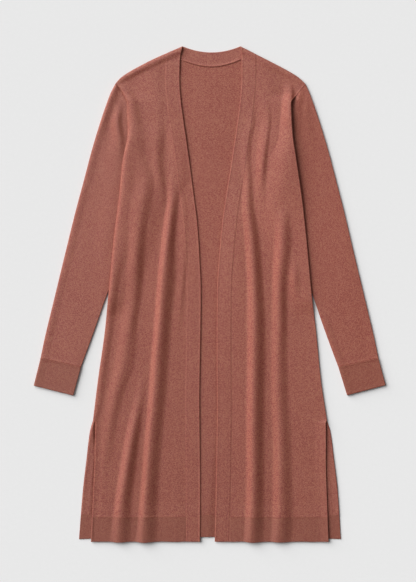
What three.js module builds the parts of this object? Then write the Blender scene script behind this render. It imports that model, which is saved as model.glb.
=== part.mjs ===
import * as THREE from "three";

// Duster cardigan laid flat on its back, front side up, sleeves straight down beside the body.
// X runs across to the viewer's right, Y from the hem to the collar, Z up from the surface, in mm.
// Left and right are the viewer's. The tables give Y from the front hem edge.

// Cloth
const panelCloth = 1.6; // plain knit of body and sleeves
const bandCloth = 2.2; // ribbed hems and cuffs, doubled bands
const seamGap = 0.3; // between one piece and the next, side by side or one above another

// Lengths along the garment
const length = 1000; // front hem edge to the neck points
const frontHemLine = 50; // the ribbed hem is this high
const backHemLine = 54;
const slitTop = 245;
const underarm = 760;
const lapStart = 42; // above the underarm the back's edge begins to go out over the sleeve
const armholeTurn = 886; // above it the armhole seam shows, below it the body's edge lies over the sleeve
const bandWidth = 29.5; // front bands
const neckBandHeight = 26.5;
const neckMiddle = { x: 3.7, y: 987.8 }; // lowest point of the neck's edge, at the back

// Where the garment stands in its frame: the middle of its outline is the origin
const shiftX = 0;
const shiftY = -498.9;

// Outlines, each row at one height
const armholeRows = [
  { y: 923.5, left: -190.9, right: 193.7 },
  { y: 912, left: -180.8, right: 184.2 },
  { y: 900, left: -173.6, right: 174.6 },
  { y: 886, left: -167, right: 164.4 },
  { y: 851, left: -154.9, right: 152.8 },
  { y: 811, left: -142.8, right: 142.4 },
  { y: 760, left: -134.7, right: 136.5 },
];
const bodyRows = [
  { y: 886, left: -167, right: 164.4 },
  { y: 827, left: -165.4, right: 167.4 },
  { y: 766, left: -175.7, right: 175.9 },
  { y: 692, left: -183.2, right: 185.4 },
  { y: 617, left: -192.7, right: 195.7 },
  { y: 532, left: -201, right: 202.8 },
  { y: 488, left: -205.4, right: 207.2 },
  { y: 427, left: -211.5, right: 214.7 },
  { y: 326, left: -225.6, right: 224.8 },
  { y: 245, left: -235.7, right: 236.9 },
];
const frontSlitRows = [
  { y: 245, left: -235.7, right: 236.9 },
  { y: 235, left: -230.9, right: 234.6 },
  { y: 165, left: -232.3, right: 234.4 },
  { y: 94, left: -235.3, right: 236.5 },
  { y: 0, left: -239.8, right: 240.1 },
];
const backSlitRows = [
  { y: 245, left: -235.7, right: 236.9 },
  { y: 222, left: -242.3, right: 242.6 },
  { y: 165, left: -250, right: 249.4 },
  { y: 104, left: -256.6, right: 257 },
  { y: 5, left: -264, right: 264.2 },
];
const frontEdgeRows = [
  { y: 1000, left: -54.4, right: 61.8 },
  { y: 972, left: -59.4, right: 64.4 },
  { y: 930, left: -60.4, right: 64.2 },
  { y: 889, left: -57.4, right: 61 },
  { y: 848, left: -52, right: 56 },
  { y: 807, left: -46, right: 50 },
  { y: 755, left: -38.8, right: 42.2 },
  { y: 692, left: -30.5, right: 32 },
  { y: 645, left: -24.6, right: 25.6 },
  { y: 575, left: -20, right: 19 },
  { y: 504, left: -17, right: 14.9 },
  { y: 390, left: -18.4, right: 14.3 },
  { y: 287, left: -20, right: 14.9 },
  { y: 118, left: -18.4, right: 12.9 },
  { y: 0, left: -19, right: 10.1 },
];
const shoulderRows = [
  { out: 0, left: -54.4, right: 61.8, y: 1000 },
  { out: 1, left: -83, right: 86, y: 987.5 },
  { out: 2, left: -114, right: 114, y: 973 },
  { out: 3, left: -145.5, right: 145.5, y: 957 },
  { out: 4, left: -173, right: 173.6, y: 941 },
  { out: 5, left: -183.4, right: 184.6, y: 932.5 },
  { out: 6, left: -190.9, right: 193.7, y: 923.5 },
];
const sleeveOuterRows = [
  { y: 923.5, left: -190.9, right: 193.7 },
  { y: 908, left: -199, right: 200.8 },
  { y: 892, left: -205.4, right: 206.8 },
  { y: 851, left: -219.6, right: 220.8 },
  { y: 791, left: -237.8, right: 239 },
  { y: 730, left: -253.9, right: 255 },
  { y: 670, left: -270, right: 270.5 },
  { y: 589, left: -290, right: 289.6 },
  { y: 488, left: -314.5, right: 313.9 },
  { y: 407, left: -334, right: 333.2 },
  { y: 371, left: -341.4, right: 340.6 },
];
const sleeveInnerRows = [
  { y: 760, left: -134.7, right: 136.5 },
  { y: 690, left: -141, right: 142.6 },
  { y: 590, left: -170.6, right: 171.6 },
  { y: 488, left: -211.2, right: 211.2 },
  { y: 447, left: -225.4, right: 225 },
  { y: 407, left: -239.6, right: 239.2 },
  { y: 353, left: -259.4, right: 259.4 },
];
const cuffCorners = {
  left: {
    outerSeam: [-341.4, 371],
    innerSeam: [-259.4, 353],
    outerEnd: [-355, 316],
    innerEnd: [-275.4, 295.6],
  },
  right: {
    outerSeam: [340.6, 371],
    innerSeam: [259.4, 353],
    outerEnd: [355, 317],
    innerEnd: [277, 296.4],
  },
};

// Folds of the fronts. Each row: the crest's place and height, and how far the fold reaches to each side.
const folds = {
  left: [
    { name: "long fold", rows: [
      { y: 830, x: -76, height: 0, toLeft: 24, toRight: 20 },
      { y: 710, x: -75, height: 2.2, toLeft: 28, toRight: 20 },
      { y: 609, x: -86.5, height: 5.4, toLeft: 32, toRight: 20 },
      { y: 508, x: -94.5, height: 7.4, toLeft: 38, toRight: 24 },
      { y: 407, x: -104, height: 8.8, toLeft: 38, toRight: 32 },
      { y: 286, x: -114.5, height: 9.4, toLeft: 22, toRight: 32 },
      { y: 165, x: -122.5, height: 9, toLeft: 21, toRight: 28 },
      { y: 53, x: -129, height: 8, toLeft: 24, toRight: 30 },
      { y: 0, x: -136, height: 7.4, toLeft: 24, toRight: 34 },
    ] },
    { name: "fold from the armhole", rows: [
      { y: 880, x: -152, height: 0, toLeft: 20, toRight: 22 },
      { y: 811, x: -140, height: 2.8, toLeft: 22, toRight: 26 },
      { y: 735, x: -132, height: 5.6, toLeft: 22, toRight: 30 },
      { y: 660, x: -144.8, height: 6.4, toLeft: 22, toRight: 30 },
      { y: 558, x: -153, height: 5.6, toLeft: 22, toRight: 26 },
      { y: 457, x: -163, height: 5, toLeft: 24, toRight: 26 },
      { y: 346, x: -179, height: 4.2, toLeft: 26, toRight: 28 },
      { y: 240, x: -199, height: 1.6, toLeft: 26, toRight: 28 },
      { y: 180, x: -208, height: 0, toLeft: 24, toRight: 26 },
    ] },
    { name: "low fold", rows: [
      { y: 420, x: -129, height: 0, toLeft: 20, toRight: 16 },
      { y: 346, x: -139, height: 1.2, toLeft: 22, toRight: 18 },
      { y: 286, x: -145, height: 2.6, toLeft: 26, toRight: 18 },
      { y: 225, x: -157, height: 5.4, toLeft: 28, toRight: 22 },
      { y: 165, x: -167, height: 7, toLeft: 30, toRight: 24 },
      { y: 53, x: -181, height: 7.8, toLeft: 30, toRight: 26 },
      { y: 0, x: -188, height: 6.6, toLeft: 30, toRight: 26 },
    ] },
    { name: "side fold", rows: [
      { y: 900, x: -157, height: 0, toLeft: 14, toRight: 16 },
      { y: 850, x: -158, height: 1.8, toLeft: 14, toRight: 18 },
      { y: 735, x: -165, height: 2.2, toLeft: 20, toRight: 20 },
      { y: 609, x: -180, height: 2.4, toLeft: 22, toRight: 20 },
      { y: 508, x: -194, height: 2.2, toLeft: 18, toRight: 20 },
      { y: 380, x: -209, height: 1.2, toLeft: 18, toRight: 22 },
      { y: 270, x: -222, height: 0, toLeft: 16, toRight: 20 },
    ] },
  ],
  right: [
    { name: "inner fold", rows: [
      { y: 800, x: 72, height: 0, toLeft: 20, toRight: 24 },
      { y: 710, x: 75.5, height: 2, toLeft: 20, toRight: 30 },
      { y: 609, x: 83.5, height: 4.6, toLeft: 22, toRight: 30 },
      { y: 508, x: 89.5, height: 6.4, toLeft: 26, toRight: 28 },
      { y: 407, x: 89.5, height: 7.8, toLeft: 27, toRight: 27 },
      { y: 286, x: 87.5, height: 7.4, toLeft: 26, toRight: 27 },
      { y: 165, x: 89.5, height: 7.2, toLeft: 26, toRight: 27 },
      { y: 53, x: 87.5, height: 7.8, toLeft: 27, toRight: 28 },
      { y: 0, x: 83, height: 7, toLeft: 26, toRight: 30 },
    ] },
    { name: "outer fold", rows: [
      { y: 900, x: 154, height: 0, toLeft: 18, toRight: 14 },
      { y: 850, x: 156, height: 3.2, toLeft: 26, toRight: 14 },
      { y: 760, x: 151, height: 4, toLeft: 32, toRight: 22 },
      { y: 660, x: 144, height: 3.8, toLeft: 28, toRight: 28 },
      { y: 558, x: 140, height: 4.8, toLeft: 27, toRight: 28 },
      { y: 457, x: 138, height: 5.4, toLeft: 26, toRight: 28 },
      { y: 346, x: 138, height: 5, toLeft: 26, toRight: 28 },
      { y: 225, x: 142, height: 4.6, toLeft: 27, toRight: 28 },
      { y: 104, x: 142, height: 5, toLeft: 27, toRight: 28 },
      { y: 0, x: 137, height: 4.8, toLeft: 27, toRight: 30 },
    ] },
    { name: "chest fold", rows: [
      { y: 900, x: 115, height: 0, toLeft: 14, toRight: 16 },
      { y: 850, x: 113, height: 1.4, toLeft: 15, toRight: 16 },
      { y: 760, x: 104, height: 1.5, toLeft: 16, toRight: 14 },
      { y: 690, x: 99, height: 0, toLeft: 16, toRight: 14 },
    ] },
    { name: "side fold", rows: [
      { y: 740, x: 172, height: 0, toLeft: 16, toRight: 12 },
      { y: 660, x: 181, height: 1.6, toLeft: 18, toRight: 12 },
      { y: 508, x: 196, height: 1.8, toLeft: 20, toRight: 14 },
      { y: 346, x: 212, height: 1.6, toLeft: 20, toRight: 14 },
      { y: 250, x: 224, height: 0, toLeft: 20, toRight: 14 },
    ] },
  ],
};
// The soft ridge down the top of each sleeve, beside the body
const sleeveFold = {
  left: [
    { y: 912, x: -191, height: 0, toLeft: 10, toRight: 12 },
    { y: 880, x: -193, height: 2, toLeft: 14, toRight: 20 },
    { y: 830, x: -196, height: 2.8, toLeft: 18, toRight: 24 },
    { y: 770, x: -203, height: 2, toLeft: 22, toRight: 20 },
    { y: 700, x: -216, height: 0, toLeft: 24, toRight: 26 },
  ],
  right: [
    { y: 912, x: 192, height: 0, toLeft: 12, toRight: 10 },
    { y: 880, x: 193, height: 1.8, toLeft: 20, toRight: 14 },
    { y: 830, x: 197, height: 2.2, toLeft: 22, toRight: 18 },
    { y: 770, x: 206, height: 1.4, toLeft: 20, toRight: 22 },
    { y: 700, x: 219, height: 0, toLeft: 24, toRight: 24 },
  ],
};

// Rolls of the cloth along a seam or a fold edge
const sleeveRoll = { height: 1.8, crest: 5.5, behind: 11 };
const shoulderRoll = { height: 1.8, crest: 5, behind: 12 };
const sideRoll = { height: 1.2, crest: 5, behind: 9 };
const slitRoll = { height: 1, crest: 3, behind: 7 };
const hemDip = 0.3; // of a fold's height: how far the hem edge hangs lower where a fold crosses it

// Heights above the surface
const sleeveTop = 3.6; // a flat sleeve: two layers and a small gap
const cuffTop = 4.8;
const onSleeve = sleeveTop + 2 * seamGap; // what laps over a sleeve starts here
const onBack = panelCloth + seamGap; // the fronts over the back panel
const onBackBand = bandCloth + seamGap; // the fronts over the ribbed back hem and the neck band

// Number of rows and columns of the cloth's grids
const frontColumns = 24;
const frontBandColumns = 5;
const sleeveStations = 14;
const neckColumns = 13;

const clamp01 = (value) => Math.min(1, Math.max(0, value));
const smooth = (value) => clamp01(value) ** 2 * (3 - 2 * clamp01(value));
const mix = (from, to, part) => from + (to - from) * part;
const hump = (distance, reach) => 0.5 + 0.5 * Math.cos(Math.PI * Math.min(1, Math.abs(distance) / reach));

// Reads a column of a table at a place on its key column, smooth through the rows and flat past the ends.
function read(rows, key, column, place) {
  const rising = rows[0][key] < rows[rows.length - 1][key];
  const sorted = rising ? rows : [...rows].reverse();
  const last = sorted.length - 1;
  if (place <= sorted[0][key]) return sorted[0][column];
  if (place >= sorted[last][key]) return sorted[last][column];
  let i = 0;
  while (sorted[i + 1][key] < place) i += 1;
  const slope = (j) => (sorted[j + 1][column] - sorted[j][column]) / (sorted[j + 1][key] - sorted[j][key]);
  const tangent = (j) => {
    if (j === 0) return slope(0);
    if (j === last) return slope(last - 1);
    const before = slope(j - 1);
    const after = slope(j);
    return before * after <= 0 ? 0 : (2 * before * after) / (before + after);
  };
  const step = sorted[i + 1][key] - sorted[i][key];
  const t = (place - sorted[i][key]) / step;
  const startPart = (1 + 2 * t) * (1 - t) ** 2 * sorted[i][column] + t * (1 - t) ** 2 * step * tangent(i);
  const endPart = t * t * (3 - 2 * t) * sorted[i + 1][column] + t * t * (t - 1) * step * tangent(i + 1);
  return startPart + endPart;
}

const sign = (side) => (side === "left" ? -1 : 1);
const armholeX = (y, side) => read(armholeRows, "y", side, y);
const bodyX = (y, side) => read(bodyRows, "y", side, y);
const sleeveInnerX = (y, side) => read(sleeveInnerRows, "y", side, y);
const sleeveOuterX = (y, side) => read(sleeveOuterRows, "y", side, y);
const frontEdgeX = (y, side) => read(frontEdgeRows, "y", side, y);
const bandSeamX = (y, side) => frontEdgeX(y, side) + sign(side) * bandWidth;
const shoulderY = (x, side) => read(shoulderRows, side, "y", x);

// The outer edge of a front: armhole, then the body's side, then the slit.
function frontSideX(y, side) {
  if (y > armholeTurn) return armholeX(y, side) - sign(side) * 2 * seamGap;
  if (y > slitTop) return bodyX(y, side) - sign(side) * seamGap;
  return read(frontSlitRows, "y", side, y);
}

// The outer edge of the back: armhole down to the underarm, then out over the sleeve to the body's side.
function backSideX(y, side) {
  const armhole = armholeX(y, side) - sign(side) * 2 * seamGap;
  const step = smooth((underarm + lapStart - y) / lapStart);
  if (y > slitTop) return mix(armhole, bodyX(y, side), step);
  return read(backSlitRows, "y", side, y);
}

// Height of a fold at a point. A fold's table starts at height 0 and ends so too, or at the hem edge.
function foldHeight(rows, x, y) {
  const crest = read(rows, "y", "x", y);
  const reach = read(rows, "y", x < crest ? "toLeft" : "toRight", y);
  return read(rows, "y", "height", y) * hump(x - crest, reach);
}

// A roll along an edge: low at the edge itself, its crest a little way in, then down to the flat cloth.
function rollHeight(roll, distance) {
  if (distance < 0) return 0;
  const reach = distance < roll.crest ? roll.crest * 1.4 : roll.behind;
  return roll.height * hump(distance - roll.crest, reach);
}

// How much of the way a panel is lifted to pass over the sleeve: 1 above it, 0 away from it.
// The upper panel has the wider spread, so that it clears the lower one on the slope.
function overSleeve(x, y, side, spread) {
  const edge = y > underarm ? armholeX(y, side) : sleeveInnerX(y, side);
  const pastEdge = sign(side) * (edge - x);
  const across = 1 - smooth((pastEdge - 9 * spread) / (28 * spread));
  return across * smooth((y - 446 + 16 * spread) / 50);
}

// Underside of the back panel.
function backHeight(x, y) {
  const side = x < 0 ? "left" : "right";
  const high = 1 - smooth((y - underarm - lapStart) / 36);
  return onSleeve * overSleeve(x, y, side, 1) * high;
}

// Underside of the fronts and of all that is joined to them.
function frontHeight(x, y) {
  const side = x < 0 ? "left" : "right";
  const edge = frontSideX(y, side);
  const fromSide = sign(side) * (edge - x);
  const bandBelow = Math.max(smooth((78 - y) / 20), smooth((y - 942) / 16));
  const base = mix(onBack, onBackBand, bandBelow);
  const seam = 1 - smooth((y - armholeTurn - 3) / 18);
  const high = 1 - smooth((y - underarm - lapStart - 4) / 44);
  const lift = overSleeve(x, y, side, 1.7);
  const overArm = (onSleeve - onBack) * lift * seam + onBack * lift * high;
  const folded = folds[side].reduce((sum, fold) => sum + foldHeight(fold.rows, x, y), 0);
  const underShoulder = (shoulderY(x, side) - y) * 0.88;
  const slit = smooth((slitTop + 30 - y) / 40);
  const roll = mix(rollHeight(sideRoll, fromSide), rollHeight(slitRoll, fromSide), slit);
  const rolled = roll * (1 - smooth((y - 850) / 40)) + rollHeight(shoulderRoll, underShoulder);
  return base + overArm + folded + rolled;
}

// Top of a sleeve. What lies under the body is pressed flat.
function sleeveHeight(x, y, side) {
  const outer = sign(side) * (sleeveOuterX(y, side) - x) * 0.97;
  const inner = sign(side) * (x - sleeveInnerX(y, side)) * 0.94;
  const open = 1 - smooth((y - 440) / 50);
  const rolled = rollHeight(sleeveRoll, outer) + (y < underarm ? rollHeight(sleeveRoll, inner) * open : 0);
  return sleeveTop + rolled + foldHeight(sleeveFold[side], x, y);
}

// Closed solid from two grids of the same size: low faces down, high faces up.
function closedSheet(low, high) {
  const rows = low.length;
  const columns = low[0].length;
  const positions = [];
  [...low, ...high].forEach((row) => row.forEach((point) => positions.push(...point)));
  const at = (layer, i, j) => (layer * rows + i) * columns + j;
  const faces = [];
  const quad = (a, b, c, d) => faces.push(a, b, c, a, c, d);
  for (let i = 0; i < rows - 1; i += 1) {
    for (let j = 0; j < columns - 1; j += 1) {
      quad(at(1, i, j), at(1, i, j + 1), at(1, i + 1, j + 1), at(1, i + 1, j));
      quad(at(0, i, j), at(0, i + 1, j), at(0, i + 1, j + 1), at(0, i, j + 1));
    }
    quad(at(0, i, 0), at(1, i, 0), at(1, i + 1, 0), at(0, i + 1, 0));
    quad(at(0, i, columns - 1), at(0, i + 1, columns - 1), at(1, i + 1, columns - 1), at(1, i, columns - 1));
  }
  for (let j = 0; j < columns - 1; j += 1) {
    quad(at(0, 0, j), at(0, 0, j + 1), at(1, 0, j + 1), at(1, 0, j));
    quad(at(0, rows - 1, j), at(1, rows - 1, j), at(1, rows - 1, j + 1), at(0, rows - 1, j + 1));
  }
  return solid(positions, faces);
}

// Closed solid of an open tube: rings of the outer skin and of the inner skin, joined at both ends.
function closedTube(outer, inner) {
  const rows = outer.length;
  const count = outer[0].length;
  const positions = [];
  [...outer, ...inner].forEach((ring) => ring.forEach((point) => positions.push(...point)));
  const at = (layer, i, j) => (layer * rows + i) * count + (j % count);
  const faces = [];
  const quad = (a, b, c, d) => faces.push(a, b, c, a, c, d);
  for (let j = 0; j < count; j += 1) {
    for (let i = 0; i < rows - 1; i += 1) {
      quad(at(0, i, j), at(0, i, j + 1), at(0, i + 1, j + 1), at(0, i + 1, j));
      quad(at(1, i, j), at(1, i + 1, j), at(1, i + 1, j + 1), at(1, i, j + 1));
    }
    quad(at(0, 0, j), at(1, 0, j), at(1, 0, j + 1), at(0, 0, j + 1));
    quad(at(0, rows - 1, j), at(0, rows - 1, j + 1), at(1, rows - 1, j + 1), at(1, rows - 1, j));
  }
  return solid(positions, faces);
}

// Turns the faces out if the grid ran the other way round.
function solid(positions, faces) {
  let volume = 0;
  const corner = (index) => positions.slice(index * 3, index * 3 + 3);
  for (let i = 0; i < faces.length; i += 3) {
    const [a, b, c] = [corner(faces[i]), corner(faces[i + 1]), corner(faces[i + 2])];
    volume += a[0] * (b[1] * c[2] - b[2] * c[1]);
    volume += a[1] * (b[2] * c[0] - b[0] * c[2]);
    volume += a[2] * (b[0] * c[1] - b[1] * c[0]);
  }
  const turned = volume < 0 ? faces.reverse() : faces;
  const geometry = new THREE.BufferGeometry();
  geometry.setAttribute("position", new THREE.Float32BufferAttribute(positions, 3));
  geometry.setIndex(turned);
  geometry.translate(shiftX, shiftY, 0);
  geometry.computeVertexNormals();
  return geometry;
}

// A sheet on a height function: the cloth keeps its thickness on a slope.
function sheetOn(plan, height, cloth) {
  const probe = 1.5;
  const low = plan.map((row) => row.map(([x, y]) => [x, y, height(x, y)]));
  const high = plan.map((row) => row.map(([x, y]) => {
    const slopeX = (height(x + probe, y) - height(x - probe, y)) / (2 * probe);
    const slopeY = (height(x, y + probe) - height(x, y - probe)) / (2 * probe);
    return [x, y, height(x, y) + cloth * Math.min(1.35, Math.hypot(1, slopeX, slopeY))];
  }));
  return closedSheet(low, high);
}

const evenly = (count) => Array.from({ length: count }, (unused, i) => i / (count - 1));

// Columns of a front panel from its side edge (0) to its band seam (1), closer at the rolled edge.
const frontAcross = evenly(frontColumns).map((part) => mix(part ** 1.5, part, part));
// Rows of the body by their height at the side edge, closer where an edge turns or a seam runs.
const frontRowHeights = [
  0, 12, 38, 75, 115, 155, 190, 220, 235, 245, 275, 320, 370, 420, 470, 520, 570, 620, 665, 705, 740, 770, 800,
  826, 850, 868, 880, 892, 903, 911, 917, 923.5,
];
const backRowHeights = [
  0, 40, 105, 165, 205, 222, 234, 245, 300, 365, 430, 475, 515, 560, 610, 660, 700, 722, 735, 745, 754, 762,
  770, 778, 788, 798, 812, 828, 846, 866, 884, 898, 909, 917, 923.5,
];

const tipY = 923.5;
const tipX = { left: -190.9, right: 193.7 };
const neckCornerX = { left: -83, right: 86 }; // lower ends of the neck band, on the shoulder line
const neckCornerY = 987.5;
const bandTopX = { left: -86.5, right: 92.9 }; // where the seam of a front band meets the shoulder

// A point on an edge of the neck band: part runs from -1 to 1 across the back of the neck.
function neckCurve(part, edge) {
  const side = part < 0 ? "left" : "right";
  const out = Math.abs(part);
  if (edge === "upper") {
    return [mix(neckMiddle.x, frontEdgeX(length, side), out), mix(neckMiddle.y, length, out ** 2)];
  }
  const lowest = neckMiddle.y - neckBandHeight;
  return [mix(neckMiddle.x, neckCornerX[side], out), mix(lowest, neckCornerY, out ** 1.8)];
}

// Top edge of the back panel: shoulder, neck seam, shoulder.
const backShoulderColumns = 9;
function backTopPoints() {
  const points = [];
  for (let i = 0; i < backShoulderColumns; i += 1) {
    const x = mix(tipX.left, neckCornerX.left, (i / backShoulderColumns) ** 1.15);
    points.push([x, shoulderY(x, "left")]);
  }
  evenly(neckColumns).forEach((part) => {
    const [x, y] = neckCurve(2 * part - 1, "lower");
    points.push([x, y - seamGap * 1.2]);
  });
  for (let i = 1; i <= backShoulderColumns; i += 1) {
    const x = mix(tipX.right, neckCornerX.right, (1 - i / backShoulderColumns) ** 1.15);
    points.push([x, shoulderY(x, "right")]);
  }
  return points;
}

const backHemEdge = (x) => 9.3 - 4.3 * (x / 264) ** 2;

function backPanel() {
  const top = backTopPoints();
  const plan = backRowHeights.map((height) => {
    const t = height / tipY;
    const start = backHemLine + seamGap;
    return top.map(([topX, topY], j) => {
      const y = mix(start, topY, t);
      const f = (topX - tipX.left) / (tipX.right - tipX.left);
      const x = mix(backSideX(y, "left"), backSideX(y, "right"), f);
      const atTop = mix(backSideX(topY, "left"), backSideX(topY, "right"), f);
      const inset = j === 0 ? 2 * seamGap : j === top.length - 1 ? -2 * seamGap : 0;
      return [x + (topX + inset - atTop) * t ** 6, y];
    });
  });
  return sheetOn(plan, backHeight, panelCloth);
}

function backHem() {
  const parts = evenly(26);
  const plan = evenly(3).map((t) => parts.map((part) => {
    const guess = mix(-262, 262, part);
    const y = mix(backHemEdge(guess), backHemLine, t);
    return [mix(backSideX(y, "left"), backSideX(y, "right"), part), y];
  }));
  return sheetOn(plan, () => 0, bandCloth);
}

const frontHemEdge = (x) => -hemDip * (frontHeight(x, 6) - onBackBand);

function frontPanel(side) {
  const plan = frontRowHeights.map((height) => frontAcross.map((part) => {
    const topX = mix(tipX[side], bandTopX[side] + sign(side) * seamGap, part);
    const y = mix(frontHemLine + seamGap, shoulderY(topX, side), height / tipY);
    return [mix(frontSideX(y, side), bandSeamX(y, side) + sign(side) * seamGap, part), y];
  }));
  return sheetOn(plan, frontHeight, panelCloth);
}

function frontHem(side) {
  const plan = evenly(4).map((t) => frontAcross.map((part) => {
    const nearX = mix(frontSideX(20, side), bandSeamX(20, side), part);
    const y = mix(frontHemEdge(nearX), frontHemLine, t);
    return [mix(frontSideX(y, side), bandSeamX(y, side) + sign(side) * seamGap, part), y];
  }));
  return sheetOn(plan, frontHeight, bandCloth);
}

// A front band has the panel's rows along their seam, and three more beside the ribbed hem.
function frontBand(side) {
  const rows = [-1, -0.6, -0.3, ...frontRowHeights.map((height) => height / tipY)];
  const plan = rows.map((t) => evenly(frontBandColumns).map((part) => {
    const start = frontHemEdge(frontEdgeX(0, side) + sign(side) * bandWidth * part);
    const end = mix(length, shoulderY(bandTopX[side], side), part);
    const seamStart = frontHemLine + seamGap;
    const y = t < 0 ? mix(start, seamStart, 1 + t) : mix(seamStart, end, t);
    return [frontEdgeX(y, side) + sign(side) * bandWidth * part, y];
  }));
  return sheetOn(plan, frontHeight, bandCloth);
}

function neckBand() {
  const parts = evenly(neckColumns).map((part) => 2 * part - 1);
  const plan = evenly(4).map((t) => parts.map((part) => {
    const low = neckCurve(part, "lower");
    const high = neckCurve(part, "upper");
    return [mix(low[0], high[0], t), mix(low[1], high[1], t)];
  }));
  return sheetOn(plan, () => 0, bandCloth);
}

// Points across a flat tube: how far in from the fold edge on the outer skin, and how much further in
// on the inner skin, in thicknesses of the cloth.
const foldSteps = [
  { outer: 0, further: 0.8 },
  { outer: 0.7, further: 0.55 },
  { outer: 2.4, further: 0.25 },
  { outer: 5.5, further: 0 },
  { outer: 9, further: 0 },
  { outer: 14, further: 0 },
];
const middleSteps = 4;
const foldRounding = 2.4;

// One skin of a flat tube at one station: along the top from the first fold edge to the second, and back
// below. The skin rises and falls from mid height in a quarter round at each fold edge.
function flatSkin(width, place, topHeight, flatTop, cloth, inner) {
  const middle = flatTop / 2;
  const wall = inner ? cloth : 0;
  const edge = inner ? cloth * foldSteps[0].further : 0;
  const radius = foldRounding - wall / 2;
  const near = foldSteps.map((step) => step.outer + (inner ? cloth * step.further : 0));
  const between = evenly(middleSteps + 2).slice(1, -1);
  const start = foldSteps[foldSteps.length - 1].outer;
  const inside = between.map((part) => mix(start, width - start, part));
  const across = [...near, ...inside, ...[...near].reverse().map((spot) => width - spot)];
  const point = (spot, level) => {
    const [x, y] = place(spot / width);
    const fromEdge = Math.min(spot, width - spot) - edge;
    const rise = Math.sqrt(1 - (1 - clamp01(fromEdge / radius)) ** 2);
    return [x, y, mix(middle, level(x, y), rise)];
  };
  const top = across.map((spot) => point(spot, (x, y) => topHeight(x, y) - wall));
  const bottom = across.slice(1, -1).reverse().map((spot) => point(spot, () => wall));
  return [...top, ...bottom];
}

function sleeve(side) {
  const outerSkin = [];
  const innerSkin = [];
  for (let i = 0; i < sleeveStations; i += 1) {
    const s = i / (sleeveStations - 1);
    const outerY = mix(tipY, cuffCorners[side].outerSeam[1] + seamGap, s);
    const innerY = mix(underarm, cuffCorners[side].innerSeam[1] + seamGap, s);
    const outer = [sleeveOuterX(outerY, side), outerY];
    const inner = [sleeveInnerX(innerY, side), innerY];
    const width = Math.hypot(inner[0] - outer[0], inner[1] - outer[1]);
    const fade = clamp01(1 - s / 0.35) ** 2;
    const place = (q) => {
      const y = mix(outer[1], inner[1], q);
      const capY = mix(tipY, underarm, q);
      const bow = armholeX(capY, side) - mix(tipX[side], armholeX(underarm, side), q);
      return [mix(outer[0], inner[0], q) + bow * fade, y];
    };
    const height = (x, y) => sleeveHeight(x, y, side);
    outerSkin.push(flatSkin(width, place, height, sleeveTop, panelCloth, false));
    innerSkin.push(flatSkin(width, place, height, sleeveTop, panelCloth, true));
  }
  return closedTube(outerSkin, innerSkin);
}

function cuff(side) {
  const corners = cuffCorners[side];
  const outerSkin = [];
  const innerSkin = [];
  [0, 0.5, 1].forEach((s) => {
    const outer = [0, 1].map((axis) => mix(corners.outerSeam[axis], corners.outerEnd[axis], s));
    const inner = [0, 1].map((axis) => mix(corners.innerSeam[axis], corners.innerEnd[axis], s));
    const width = Math.hypot(inner[0] - outer[0], inner[1] - outer[1]);
    const place = (q) => [mix(outer[0], inner[0], q), mix(outer[1], inner[1], q)];
    const height = (x, y) => {
      const along = Math.hypot(x - outer[0], y - outer[1]);
      const roll = rollHeight(sleeveRoll, along) + rollHeight(sleeveRoll, width - along);
      return cuffTop + roll * 0.6;
    };
    outerSkin.push(flatSkin(width, place, height, cuffTop, bandCloth, false));
    innerSkin.push(flatSkin(width, place, height, cuffTop, bandCloth, true));
  });
  return closedTube(outerSkin, innerSkin);
}

const knitColour = 0x9a6055;
const ribColour = 0x90594f;

function piece(name, geometry, colour) {
  const material = new THREE.MeshStandardMaterial({ color: colour, roughness: 0.95, metalness: 0 });
  material.name = `${name}_cloth`;
  const mesh = new THREE.Mesh(geometry, material);
  mesh.name = name;
  return mesh;
}

const garment = new THREE.Group();
garment.name = "duster_cardigan";
garment.add(piece("back_panel", backPanel(), knitColour));
garment.add(piece("hem_band_back", backHem(), ribColour));
garment.add(piece("neck_band", neckBand(), knitColour));
["left", "right"].forEach((side) => {
  garment.add(piece(`front_panel_${side}`, frontPanel(side), knitColour));
  garment.add(piece(`hem_band_front_${side}`, frontHem(side), ribColour));
  garment.add(piece(`front_band_${side}`, frontBand(side), knitColour));
  garment.add(piece(`sleeve_${side}`, sleeve(side), knitColour));
  garment.add(piece(`cuff_${side}`, cuff(side), ribColour));
});

export default garment;
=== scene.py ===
import math
import bpy
import numpy as np
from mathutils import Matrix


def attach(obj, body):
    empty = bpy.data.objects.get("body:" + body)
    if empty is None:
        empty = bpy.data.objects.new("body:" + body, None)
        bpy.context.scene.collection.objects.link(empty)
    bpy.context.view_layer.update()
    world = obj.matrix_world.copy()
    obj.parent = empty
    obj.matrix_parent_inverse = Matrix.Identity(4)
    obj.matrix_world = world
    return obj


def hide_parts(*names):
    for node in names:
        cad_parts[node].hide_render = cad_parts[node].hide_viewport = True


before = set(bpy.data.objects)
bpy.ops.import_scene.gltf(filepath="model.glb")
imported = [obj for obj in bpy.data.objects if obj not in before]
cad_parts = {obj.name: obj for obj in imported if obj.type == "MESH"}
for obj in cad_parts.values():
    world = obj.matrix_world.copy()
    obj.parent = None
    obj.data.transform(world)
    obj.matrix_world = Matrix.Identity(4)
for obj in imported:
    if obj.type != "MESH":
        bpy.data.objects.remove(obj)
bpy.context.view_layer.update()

# Duster cardigan laid flat, front side up. The pattern is in millimetres, as a maker writes it: x to the viewer's
# right, y up from the front hem edge, z up from the floor. meshFrom turns it into metres in the frame of the CAD.
# Left and right are the viewer's.

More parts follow.
